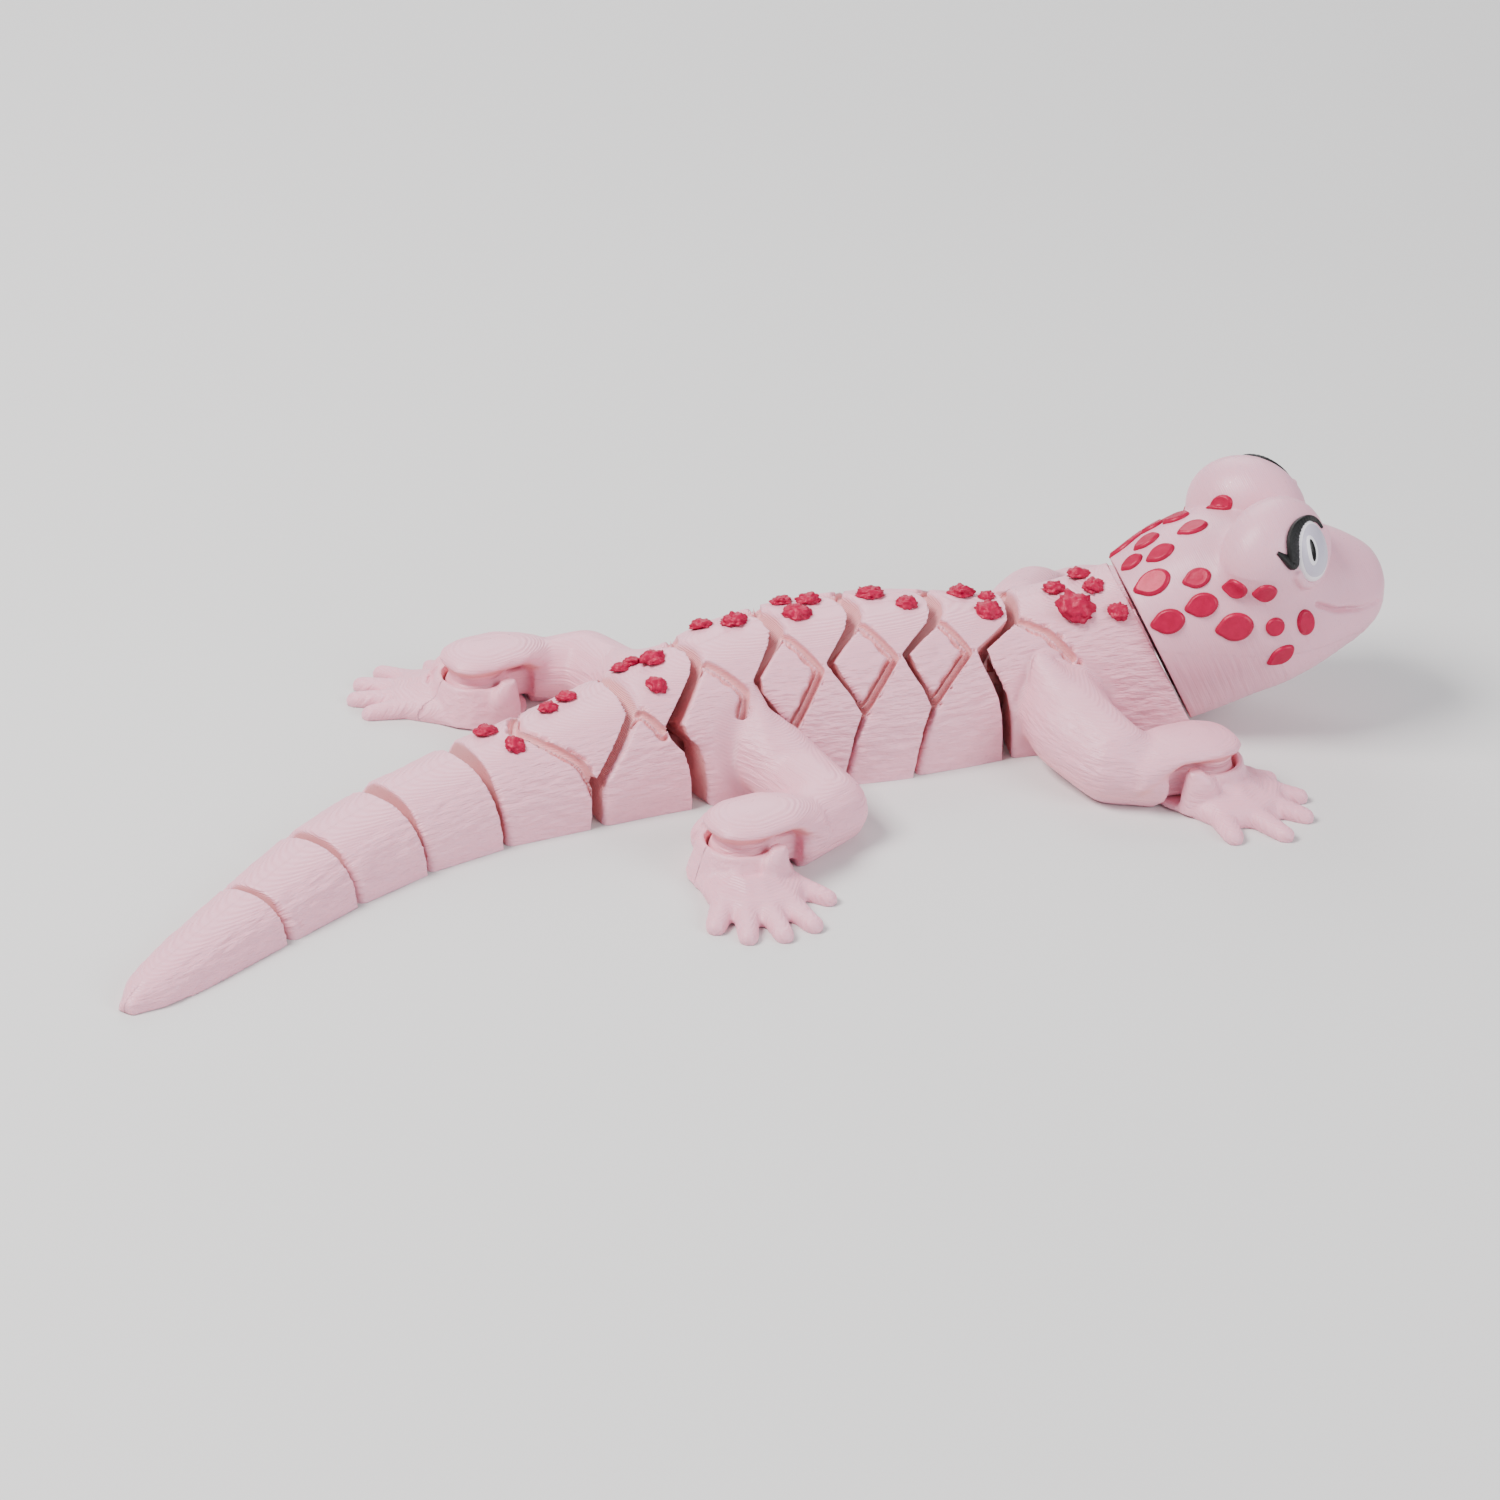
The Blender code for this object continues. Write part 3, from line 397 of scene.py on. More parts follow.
def finish_link(item, link, chains=()):
    """Round the facets out to the arch, ease the rear edge, carve the grooves and the
    strokes, and store the shader's values."""
    to_row = place_of(link)
    to_link = to_row.inverted()
    turn = to_row.to_3x3().normalized()
    seed = 3.7 * list(LINKS).index(link)
    values = []
    places = []
    limbs = [[Vector(p) for p in chain] for chain in chains]
    carved = []
    for (s0, t0), (s1, t1) in zip(GROOVES.get(link, ()), GROOVES.get(link, ())[1:]):
        carved += [arch_point(s0 + (s1 - s0) * i / 5, t0 + (t1 - t0) * i / 5) for i in range(5)]
    if carved:
        carved.append(arch_point(*GROOVES[link][-1]))
    groove_start = min((point.x for point in carved), default=0.0) - 1.5
    groove_end = max((point.x for point in carved), default=0.0) + 1.5
    for co, normal in skin_points(item):
        p = to_link @ co
        half, height = quick_size(p.x)
        side, rise = p.y / half, max(p.z, 0.0) / height
        k = (abs(side) ** ARCH + rise ** ARCH) ** (1.0 / ARCH)
        t = math.degrees(math.atan2(rise ** (ARCH / 2), abs(side) ** (ARCH / 2))) if k else 0.0
        clear = 1.0
        if limbs and k > 0.95 and abs(p.y) > LIMB_INNER and p.z < LIMB_TOP + 0.5:
            off = near_line(limbs[0] if p.y < 0 else limbs[1], p)
            clear = smooth_step(LIMB_NEAR, LIMB_NEAR + 2.5, off)
            if k > 1.07 or (off < LIMB_NEAR and k > 1.0):
                along, across = 0.7 * p.x + 0.7 * abs(p.y), 1.1 * p.z
                flank = smooth_step(0.95, 0.60, abs(normal.z))
                depth = STROKE_DEEP * (0.20 + 0.45 * flank) * smooth_step(1.02, 1.12, k)
                places.append(co + normal * (strokes(along, across, seed) - 0.75) * depth * MM)
                # Painted shade on the limbs' undersides, where they face the floor.
                shade = smooth_step(0.15, 0.6, -normal.z) * smooth_step(1.0, 5.0, p.z)
                flank = (0.35 + 0.4 * flank) * smooth_step(1.02, 1.10, k)
                values.append(((along, across, seed), p.z, flank, shade))
                continue
        on_skin = 1.0 if p.x < TIP_END else smooth_step(SKIN_LOW, SKIN_HIGH, k)
        across = math.radians(t) * 0.5 * (half + height) * (1 if p.y < 0 else -1)
        scale = 1.0
        if p.x > TIP_END:
            scale += on_skin * clear * (1.0 / k - 1.0)
        if groove_start < p.x < groove_end and k > 0.9:
            off = near_line(carved, Vector((p.x, -abs(p.y), p.z)) / k)
            if off < GROOVE_HALF + GROOVE_LIP:
                inside = smooth_step(GROOVE_HALF + GROOVE_LIP, GROOVE_HALF, off)
                floor = 1.0 - GROOVE_DEEP * inside / math.hypot(p.y, p.z)
                scale = min(scale, floor / k)
                on_skin = min(on_skin, 1.0 - smooth_step(0.15, 0.7, inside))
        if link in REAR:
            round_size = REAR_ROUND * (1.0 - 0.72 * smooth_step(38.0, 68.0, t))
            off = max(p.x - rear_edge(link, t), 0.0)
            if off < round_size:
                drop = round_size - math.sqrt(round_size ** 2 - (round_size - off) ** 2)
                scale -= drop / height * smooth_step(0.55, 0.9, k)
        flank = smooth_step(0.97, 0.60, rise ** ARCH if k < 1.02 else 0.0) * on_skin
        away = Vector((0, p.y * scale, max(p.z, 0.0) * scale)).normalized()
        deep = STROKE_DEEP * (0.12 + 0.88 * flank) * on_skin * clear
        move = Vector((0, p.y * (scale - 1.0), max(p.z, 0.0) * (scale - 1.0)))
        move += away * (min(strokes(p.x, across, seed), 1.0) - 1.0) * deep * smooth_step(0.05, 0.6, p.z)
        places.append(co + turn @ move * MM)
        # Painted shade: the walls inside the gaps and grooves, off the outer skin, get the deeper pink.
        values.append(((p.x, across, seed), p.z, max(flank, 0.1 * on_skin) * clear,
                       (1.0 - on_skin) * smooth_step(-0.1, 0.4, p.z)))
    write_skin(item, places, values)
    soften(item, lambda co: co.z < 0.0002, 1)


def dress(item, body, replaced, material):
    item.data.materials.clear()
    item.data.materials.append(material)
    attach(item, body)
    if replaced:
        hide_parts(*replaced)


for link in LINKS:
    if link in ("hip_link", "shoulder_link"):
        continue
    block = remeshed("skin_" + link, merged_copy(link), FINE)
    soften(block, lambda co: False, 1)
    if link == "tail_tip":
        to_tip = place_of(link).inverted()
        soften(block, lambda co: (to_tip @ co).x > TIP_END, 14)
    finish_link(block, link)
    dress(block, link, [link], skin)

# Hip and shoulder links, each in one print with its two limbs. The limbs are grown
# a little so that they fuse with the flank, then softened into round bones.
LEG_LINE = ((113.6, 9.0, 8.4), (115.2, 19.5, 5.0), (114.6, 29.4, 4.4), (105.8, 32.8, 4.0), (96.2, 32.8, 4.0))
ARM_LINE = ((171.8, 8.0, 8.0), (173.0, 19.0, 7.2), (177.0, 27.4, 6.0), (183.6, 29.6, 4.2), (191.2, 27.8, 4.0))
LEG_SHIFT = (2.8, -2.8)
LIMB_FINE = 0.3
# Webs of plastic that carry each limb up to the point of its diamond: (x, y, z, radius).
LEG_WEB = ((117.2, 8.9, 16.2, 0.6), (116.3, 12.6, 12.4, 2.0), (115.6, 16.6, 8.4, 3.4),
           (115.4, 19.5, 6.2, 4.4))
ARM_WEB = ((168.0, 8.3, 17.4, 0.9), (169.2, 11.4, 14.2, 2.5), (171.0, 15.0, 10.8, 4.4),
           (173.0, 19.0, 8.4, 5.8))
# Rounded end of a limb over the paw's pocket: (distance before the pivot, z, half
# width, half height). It stays above the paw's wall and knuckles.
COVER = ((12.8, 5.6, 5.0, 3.6), (9.4, 7.4, 5.4, 3.0), (6.2, 9.2, 5.8, 1.65), (0.0, 9.25, 6.2, 1.7),
         (-3.4, 9.1, 5.2, 1.4), (-5.4, 9.0, 3.0, 0.8))
HUB = (7.4, 4.6, 2.6)    # height, radius and half height of the boss under the cover


def skinned(bm, rings):
    """Loft closed rings of points, fanned shut at both ends."""
    rows = [[bm.verts.new(point) for point in ring] for ring in rings]
    count = len(rows[0])
    for row, after in zip(rows, rows[1:]):
        for i in range(count):
            bm.faces.new((row[i], row[(i + 1) % count], after[(i + 1) % count], after[i]))
    for row in (rows[0], rows[-1]):
        middle = bm.verts.new(sum((v.co for v in row), Vector()) / count)
        for i in range(count):
            bm.faces.new((row[i], row[(i + 1) % count], middle))


def oval(bm, to_row, centre, radii, turn=0.0):
    """Ellipsoid in a link's frame, turned about the vertical."""
    made = bmesh.ops.create_uvsphere(bm, u_segments=32, v_segments=20, radius=1.0)
    spin = Matrix.Rotation(turn, 3, "Z")
    for vert in made["verts"]:
        place = spin @ Vector([vert.co[i] * radii[i] for i in range(3)])
        vert.co = to_row @ (Vector(centre) + place)


def limb_extras(to_row, line, web, flip, shift):
    """Web at a limb's root and the rounded cover at its end, as one bmesh."""
    bm = bmesh.new()
    rings = []
    points = [Vector((x, flip * y, z)) for x, y, z, radius in web]
    points[-1].x += shift * 0.5
    for i, point in enumerate(points):
        along = (points[min(i + 1, len(points) - 1)] - points[max(i - 1, 0)]).normalized()
        across = along.cross(Vector((0, 0, 1))).normalized()
        other = along.cross(across)
        rings.append([to_row @ (point + (across * math.cos(2 * math.pi * k / 24)
                                         + other * math.sin(2 * math.pi * k / 24)) * web[i][3])
                      for k in range(24)])
    skinned(bm, rings)
    pivot = Vector((line[-1][0] + shift, flip * line[-1][1], 0))
    knee = Vector((line[-2][0] + shift, flip * line[-2][1], 0))
    along = (pivot - knee).normalized()
    across = Vector((along.y, -along.x, 0))
    skinned(bm, [[to_row @ (pivot - along * before + Vector((0, 0, z))
                            + across * wide * math.cos(2 * math.pi * k / 32)
                            + Vector((0, 0, tall * math.sin(2 * math.pi * k / 32))))
                  for k in range(32)] for before, z, wide, tall in COVER])
    oval(bm, to_row, (pivot.x, pivot.y, HUB[0]), (HUB[1], HUB[1], HUB[2]))
    bmesh.ops.recalc_face_normals(bm, faces=bm.faces)
    return bm


for link, limb, line, web, shifts in (("hip_link", "leg", LEG_LINE, LEG_WEB, LEG_SHIFT),
                                      ("shoulder_link", "arm", ARM_LINE, ARM_WEB, (0.0, 0.0))):
    whole = merged_copy(link)
    to_row = place_of(link)
    for side, flip, shift in zip(("right", "left"), (-1, 1), shifts):
        add_to(whole, merged_copy(limb + "_" + side, 0.28))
        add_to(whole, limb_extras(to_row, line, web, flip, shift))
    block = remeshed("skin_" + link, whole, LIMB_FINE)
    soften(block, lambda co: False, 1)
    to_link = to_row.inverted()
    chains = [[Vector((x + shift, flip * y, z)) for x, y, z in line] for flip, shift in zip((-1, 1), shifts)]

    def on_body(co):
        p = to_link @ co
        if p.z < 0.2 or abs(p.y) < LIMB_INNER:
            return True
        half, height = quick_size(p.x)
        k = ((abs(p.y) / half) ** ARCH + (max(p.z, 0.0) / height) ** ARCH) ** (1.0 / ARCH)
        if k > 1.05:
            return False
        return k < 0.99 or p.z > LIMB_TOP or near_line(chains[0] if p.y < 0 else chains[1], p) > LIMB_NEAR
    soften(block, on_body, 26)
    finish_link(block, link, chains)
    dress(block, link, [link, limb + "_right", limb + "_left"], skin)

# Feet and hands: flat splayed paws with five digits, printed round the limb's ball.
# Webs between the digits are (angle from the middle digit, reach).
FOOT_WEB = ((-37, 11.0), (-31, 14.0), (-23, 14.4), (-15, 16.4), (-8, 15.6), (0, 16.6), (8, 15.4),
            (16, 15.6), (28, 12.6), (41, 12.2), (47, 9.6))
HAND_WEB = ((-55, 10.0), (-49, 13.2), (-36, 12.6), (-23, 15.2), (-11, 14.2), (0, 15.0), (11, 13.8),
            (21, 13.6), (34, 11.2), (46, 10.6), (52, 8.8))
# Each paw: its link, limb's pivot, middle digit's heading, mouth of the pocket, webs.
PAWS = {
    "foot_right": ("hip_link", (99.0, -32.8), -105.7, 118.0, FOOT_WEB),
    "foot_left": ("hip_link", (93.4, 32.8), -129.0, 118.0, FOOT_WEB),
    "hand_right": ("shoulder_link", (191.2, -27.8), -36.0, -162.0, HAND_WEB),
    "hand_left": ("shoulder_link", (191.2, 27.8), -36.0, -162.0, HAND_WEB),
}
WEB_SECTION = ((0.5, 0.06), (0.5, 4.6), (0.72, 3.2), (0.92, 1.9), (1.0, 1.0), (1.0, 0.06))
KNUCKLE_TURN = 93.0       # knuckles' turn from the middle of the mouth
KNUCKLE_REACH = 7.15
KNUCKLE_SIZE = (1.6, 2.7, 2.8)
KNUCKLE_Z = 4.3
for name, (link, pivot, aim, opening, webs) in PAWS.items():
    to_row = place_of(link)
    flip = -1 if pivot[1] > 0 else 1
    whole = merged_copy(name, 0.1)

    def around(turn, reach, z):
        angle = math.radians(flip * (aim + turn))
        return Vector((pivot[0] + reach * math.cos(angle), pivot[1] + reach * math.sin(angle), z))
    web = bmesh.new()
    skinned(web, [[to_row @ around(turn, reach * share, z) for share, z in WEB_SECTION]
                  for turn, reach in webs])
    for sign in (-1, 1):
        turn = opening + sign * KNUCKLE_TURN
        oval(web, to_row, around(turn, KNUCKLE_REACH, KNUCKLE_Z), KNUCKLE_SIZE,
             math.radians(flip * (aim + turn)))
    bmesh.ops.recalc_face_normals(web, faces=web.faces)
    add_to(whole, web)
    paw = remeshed("skin_" + name, whole, FINE)
    soften(paw, lambda co: co.z < 0.0002, 15)
    centre = to_row @ Vector((*pivot, 0))
    values = []
    places = []
    for co, normal in skin_points(paw):
        away = (co - centre) / MM
        across = math.hypot(away.x, away.y) + 0.8 * away.z
        along = math.atan2(away.y, away.x) * 9.0
        flank = smooth_step(0.98, 0.6, abs(normal.z))
        height = co.z / MM
        deep = 0.16 * (0.2 + 0.8 * flank) * smooth_step(0.3, 1.0, height)
        places.append(co + normal * (strokes(along, across, 2.0) - 0.75) * deep * MM)
        # Painted shade inside the pocket round the limb's ball, in the same deeper pink.
        pocket_shade = smooth_step(5.9, 5.4, math.hypot(away.x, away.y)) * smooth_step(6.6, 5.6, height)
        values.append(((along, across, 3.0), height, 0.25 + 0.5 * flank, pocket_shade))
    write_skin(paw, places, values)
    dress(paw, name, [name], skin)

# Raised spots of the body: rough lumps of glossy red plastic, printed on the tops.
# Each is a low dome with a knobbly skin; they sit on the links' own small lumps.
BODY_SPOTS = {
    "tail_base": [(77.9, 102, 1.7), (79.6, 76, 1.5), (88.0, 97, 1.5), (91.6, 100, 1.5)],
    "rump_link": [(101.2, 103, 1.4), (103.4, 104, 1.3), (105.7, 95, 2.0), (103.3, 73, 1.5)],
    "hip_link": [(117.1, 107, 1.6), (121.0, 95, 1.9)],
    "torso_link_1": [(130.6, 104, 1.5), (134.3, 98, 1.8), (130.6, 89, 2.0)],
    "torso_link_2": [(144.0, 97, 2.0), (148.7, 87, 1.6)],
    "torso_link_3": [(158.8, 100, 2.0), (162.6, 95, 1.2), (161.8, 81, 2.0)],
    "shoulder_link": [(177.2, 96, 1.7), (172.9, 89, 1.7), (178.6, 80, 1.6), (175.2, 68, 2.8),
                      (181.6, 57, 1.5)],
}
SPOT_RED = (0.340, 0.0008, 0.032, 1.0)
SPOT_HIGH = 1.15


def silk_red(name, knobs):
    """Glossy silk plastic with a fine knobbly bump."""
    material = bpy.data.materials.new(name)
    material.use_nodes = True
    tree = material.node_tree
    shader = tree.nodes["Principled BSDF"]
    coords = tree.nodes.new("ShaderNodeTexCoord")
    cloud = noise_node(tree, coords.outputs["Object"], 900.0, 2.0)
    tree.links.new(mixed(tree, cloud, SPOT_RED, (SPOT_RED[0] * 1.45, 0.002, 0.06, 1.0)),
                   shader.inputs["Base Color"])
    bump = tree.nodes.new("ShaderNodeBump")
    bump.inputs["Strength"].default_value = knobs
    bump.inputs["Distance"].default_value = 0.00012
    tree.links.new(noise_node(tree, coords.outputs["Object"], 2600.0, 3.0, 0.6), bump.inputs["Height"])
    tree.links.new(bump.outputs["Normal"], shader.inputs["Normal"])
    shader.inputs["Metallic"].default_value = 0.10
    shader.inputs["Roughness"].default_value = 0.38
    shader.inputs["Specular IOR Level"].default_value = 0.28
    return material


rough_red = silk_red("rough_red", 0.8)
for link, spots in BODY_SPOTS.items():
    to_row = place_of(link)
    lumps = bmesh.new()
    for s, t, radius in spots:
        point = arch_point(s, t)
        away = (point - arch_point(s, t, -1.0)).normalized()
        turn = away.to_track_quat("Z", "Y").to_matrix()
        made = bmesh.ops.create_icosphere(lumps, subdivisions=4, radius=1.0)
        for vert in made["verts"]:
            knob = noise.noise(vert.co * 2.1 + Vector((s, t, 0))) * 0.30
            knob += abs(noise.noise(vert.co * 4.6 + Vector((t, s, 3)))) * 0.34
            place = vert.co * (radius * 1.0 + 0.12) * (0.90 + knob)
            place.z *= 0.62 if place.z > 0 else 0.2
            place.z += 0.35 * SPOT_HIGH - 0.25
            vert.co = to_row @ (point + turn @ place)
    piece = new_object("spots_" + link, lumps)
    for polygon in piece.data.polygons:
        polygon.use_smooth = True
    dress(piece, link, [], rough_red)

# Head: one satin print, slightly cooler pink, glued on at the slanted seam. A loft of
# tilted rings and two eye domes, fused and softened, with the mouth carved in.
HEAD_RINGS = [
    ((196.0, 0.4), (182.7, 25.6), 12.9), ((199.8, 2.0), (188.8, 30.2), 14.0),
    ((204.8, 4.6), (195.8, 33.2), 15.4), ((209.8, 6.8), (202.8, 33.8), 15.8),
    ((214.6, 9.2), (210.3, 32.6), 14.0), ((218.8, 11.4), (216.3, 31.0), 11.2),
    ((222.4, 13.8), (221.4, 29.0), 9.0), ((224.6, 16.2), (224.8, 26.8), 6.8),
    ((225.9, 18.8), (226.2, 23.8), 3.6),
]
HEAD_ROUND = 2.2
DOME = Vector((205.6, 8.0, 31.0))
DOME_RADII = (7.4, 10.2, 9.0)
EYE_FACING = 48.0
EYE_TILT = 22.0
EYE_SIZE = (3.9, 4.9)
EYE_THICK = 2.2
EYE_SUNK = 0.9
# Lower lid seen from the front of the eye: (towards the tail, up).
LID = [(4.3, -2.1), (2.7, -4.2), (0.0, -5.35), (-2.6, -4.8), (-4.3, -2.9), (-5.0, 0.2), (-4.8, 2.4)]
LID_THICK = 0.85
MOUTH = [(212.0, 13.6, 24.7), (215.7, 12.0, 22.7), (219.9, 9.8, 21.7), (223.3, 7.6, 21.9),
         (225.6, 4.4, 22.2), (226.4, 0.0, 22.3)]
MOUTH_DEEP = 1.3
JAW_NOTCH = [(209.7, 14.8, 20.6), (210.4, 14.2, 17.6)]
HEAD_PINK = (0.810, 0.420, 0.515, 1.0)
to_head = place_of("shoulder_link")


def eased(rows, share):
    """Smooth value of a table of equal tuples at a share of its length."""
    place = share * (len(rows) - 1)
    i = min(int(place), len(rows) - 2)
    u = place - i
    a, b, c, d = (rows[max(i - 1, 0)], rows[i], rows[i + 1], rows[min(i + 2, len(rows) - 1)])
    return [0.5 * (2 * q + (r - p) * u + (2 * p - 5 * q + 4 * r - t) * u * u
                   + (3 * q - p - 3 * r + t) * u ** 3) for p, q, r, t in zip(a, b, c, d)]


def head_ring(foot, top, half, count=72):
    foot, top = Vector((foot[0], 0, foot[1])), Vector((top[0], 0, top[1]))
    ring = []
    for k in range(count):
        c, d = math.cos(2 * math.pi * k / count), math.sin(2 * math.pi * k / count)
        side = math.copysign(abs(c) ** (2 / HEAD_ROUND), c) * half
        lift = math.copysign(abs(d) ** (2 / HEAD_ROUND), d)
        ring.append((foot + top) / 2 + (top - foot) / 2 * lift + Vector((0, side, 0)))
    return ring


def eye_axes(flip):
    """Directions of one eye, flip -1 on the right: out of it, to the tail, and up."""
    turn, tilt = math.radians(EYE_FACING), math.radians(EYE_TILT)
    back = Vector((-math.sin(turn), flip * math.cos(turn), 0))
    out = Vector((math.cos(turn) * math.cos(tilt), flip * math.sin(turn) * math.cos(tilt), math.sin(tilt)))
    up = Vector((-math.cos(turn) * math.sin(tilt), -flip * math.sin(turn) * math.sin(tilt), math.cos(tilt)))
    return out, back, up


def on_dome(flip, aside, rise, lift=0.0):
    """Point over the dome's skin, straight behind a spot of the eye's face."""
    out, back, up = eye_axes(flip)
    turn = Matrix.Rotation(-flip * math.radians(EYE_FACING), 3, "Z")

    def flatten(vector):
        turned = turn @ vector
        return Vector([turned[i] / (DOME_RADII[i] + lift) for i in range(3)])
    offset, ray = flatten(back * aside + up * rise), flatten(out)
    a, b, c = ray.dot(ray), offset.dot(ray), offset.dot(offset) - 1.0
    reach = (-b + math.sqrt(max(b * b - a * c, 0.0))) / a
    return Vector((DOME.x, flip * DOME.y, DOME.z)) + back * aside + up * rise + out * reach


def tube_rings(points, radius, sides=12):
    rings = []
    for i, point in enumerate(points):
        along = (points[min(i + 1, len(points) - 1)] - points[max(i - 1, 0)]).normalized()
        across = along.cross(Vector((0.31, 0.17, 0.93))).normalized()
        other = along.cross(across)
        size = radius * (0.55 if i in (0, len(points) - 1) else 1.0)
        rings.append([point + (across * math.cos(2 * math.pi * k / sides)
                               + other * math.sin(2 * math.pi * k / sides)) * size for k in range(sides)])
    return rings


lids = []
whole = bmesh.new()
flat_rings = [(*foot, *top, half) for foot, top, half in HEAD_RINGS]
rings = [eased(flat_rings, i / 48) for i in range(49)]
skinned(whole, [head_ring((a, b), (c, d), half) for a, b, c, d, half in rings])
for flip in (-1, 1):
    made = bmesh.ops.create_uvsphere(whole, u_segments=48, v_segments=28, radius=1.0)
    bmesh.ops.scale(whole, verts=made["verts"], vec=DOME_RADII)
    bmesh.ops.rotate(whole, verts=made["verts"],
                     matrix=Matrix.Rotation(flip * math.radians(EYE_FACING), 3, "Z"))
    bmesh.ops.translate(whole, verts=made["verts"], vec=(DOME.x, flip * DOME.y, DOME.z))
    lid = [on_dome(flip, *eased(LID, i / 24), 0.1) for i in range(25)]
    skinned(whole, tube_rings(lid, LID_THICK))
    lids.append(lid[::3])
bmesh.ops.recalc_face_normals(whole, faces=whole.faces)
bmesh.ops.transform(whole, matrix=to_head, verts=whole.verts)
head = remeshed("skin_head", whole, FINE)
from_head = to_head.inverted()
SEAM = (Vector((196.0, 0, -0.5)), Vector((181.8, 0, 26.5)))
seam_across = Vector(((SEAM[1] - SEAM[0]).z, 0, -(SEAM[1] - SEAM[0]).x)).normalized()


def dome_share(point, flip):
    """Distance from a dome's centre as a share of its radius there."""
    centre = Vector((DOME.x, flip * DOME.y, DOME.z))
    away = Matrix.Rotation(-flip * math.radians(EYE_FACING), 3, "Z") @ (point - centre)
    return Vector([away[i] / DOME_RADII[i] for i in range(3)]).length


def off_valley(co):
    """True away from the soft valley between a dome and the head, and near the seam."""
    p = from_head @ co
    if (p - SEAM[0]).dot(seam_across) < 1.2 or near_line(lids[p.y > 0], p) < LID_THICK + 0.5:
        return True
    return not 1.012 < min(dome_share(p, -1), dome_share(p, 1)) < 1.42


soften(head, lambda co: (from_head @ co - SEAM[0]).dot(seam_across) < 0.6, 4)
soften(head, off_valley, 70)


def off_cheek(co):
    """True away from the cheek under a dome, where the dome fades out."""
    p = from_head @ co
    if (p - SEAM[0]).dot(seam_across) < 3.0 or abs(p.y) < 8.0:
        return True
    if near_line(lids[p.y > 0], p) < LID_THICK + 0.5:
        return True
    share = min(dome_share(p, -1), dome_share(p, 1))
    return not (0.96 < share < 1.9 and 19.0 < p.z < 30.5 and p.x < 211.0)


soften(head, off_cheek, 160)
mouth = [Vector((x, y, z)) for x, y, z in MOUTH]
notch = [Vector(p) for p in JAW_NOTCH]
places = []
values = []
for co, normal in skin_points(head):
    p = from_head @ co
    even = Vector((p.x, abs(p.y), p.z))
    away = (p - SEAM[0]).dot(seam_across)
    carve = 0.0
    if p.x > 209.0 and 15.0 < p.z < 28.0:
        carve += MOUTH_DEEP * math.exp(-(near_line(mouth, even) / 0.38) ** 2)
        carve += 0.3 * math.exp(-(near_line(notch, even) / 0.28) ** 2)
    round_about = math.atan2(p.z - 17.0, p.y) * 14.0
    low = smooth_step(22.0, 12.0, p.z)
    ridge = strokes(round_about * 0.5, away * 1.3, 6.0) - 0.8
    places.append(co - normal * (carve - ridge * (0.025 + 0.05 * low)) * MM)
    values.append(((round_about * 0.4, away * 1.25, 4.0), away * 0.62, 0.30 + 0.35 * low, 0.0))
write_skin(head, places, values)
head_skin = printed("printed_head", HEAD_PINK, GAP_SHADE_PINK, 0.40, 0.00007)
dress(head, "shoulder_link", ["head"], head_skin)

# Spots of the head: glossy red leaf-shaped plates with bevelled rims and a point to
# the tail, pressed into the skin. Those of the right cheek are paired on the left.
TOP_PLATES = [
    (200.0, 3.8, 34.0, 4.2, 3.3), (193.4, 4.5, 31.6, 4.0, 3.2), (194.5, -1.2, 32.5, 4.5, 3.4),
    (190.0, 6.6, 29.6, 3.6, 3.0), (185.8, 6.6, 26.2, 5.2, 3.8), (187.9, 1.2, 29.4, 4.2, 3.0),
    (188.9, -3.6, 29.6, 4.4, 3.3), (185.0, -1.6, 27.2, 3.6, 2.9),
]
CHEEK_PLATES = [
    (186.6, -7.6, 26.8, 5.6, 4.4), (193.2, -10.0, 28.2, 4.1, 3.3), (193.6, -12.6, 24.8, 4.7, 3.9),
    (198.2, -14.0, 28.1, 3.9, 3.4), (202.4, -16.1, 28.1, 3.6, 3.5), (188.5, -12.2, 21.9, 4.9, 4.0),
    (198.6, -14.9, 21.9, 5.3, 4.7), (204.7, -15.5, 22.0, 3.1, 3.1), (209.8, -14.5, 22.1, 3.1, 4.4),
    (206.3, -15.4, 17.1, 4.4, 3.1),
]
PLATE_HIGH = 0.62
PLATE_RINGS = ((1.00, -0.35), (1.00, 0.22), (0.94, 0.50), (0.80, 1.0), (0.74, 0.95), (0.40, 0.98))
PLATE_SIDES = 40


def plate(bm, centre, long, wide, slope):
    """Leaf-shaped plate on the head, its point towards the tail."""
    hit, normal = head.closest_point_on_mesh(to_head @ Vector(centre))[1:3]
    axis = (to_head.to_3x3() @ Vector((1, 0, slope))).normalized()
    along = (axis - normal * axis.dot(normal)).normalized()
    across = normal.cross(along)
    rows = []
    for share, rise in PLATE_RINGS:
        row = []
        for k in range(PLATE_SIDES):
            angle = 2 * math.pi * k / PLATE_SIDES
            c, d = math.cos(angle), math.sin(angle)
            reach = 1.0 + (0.26 * max(-c, 0.0) ** 16 + 0.05 * max(c, 0.0) ** 8) * (long > 3.2)
            spot = hit + (along * c * long / 2 + across * d * wide / 2) * reach * share * MM
            under, away = head.closest_point_on_mesh(spot)[1:3]
            row.append(bm.verts.new(under + (away * 0.5 + normal * 0.5) * rise * PLATE_HIGH * MM))
        rows.append(row)
    for row, after in zip(rows, rows[1:]):
        for i in range(PLATE_SIDES):
            j = (i + 1) % PLATE_SIDES
            bm.faces.new((row[i], row[j], after[j], after[i]))
    bm.faces.new(list(reversed(rows[0])))
    middle = bm.verts.new(sum((v.co for v in rows[-1]), Vector()) / PLATE_SIDES)
    for i in range(PLATE_SIDES):
        bm.faces.new((rows[-1][i], rows[-1][(i + 1) % PLATE_SIDES], middle))


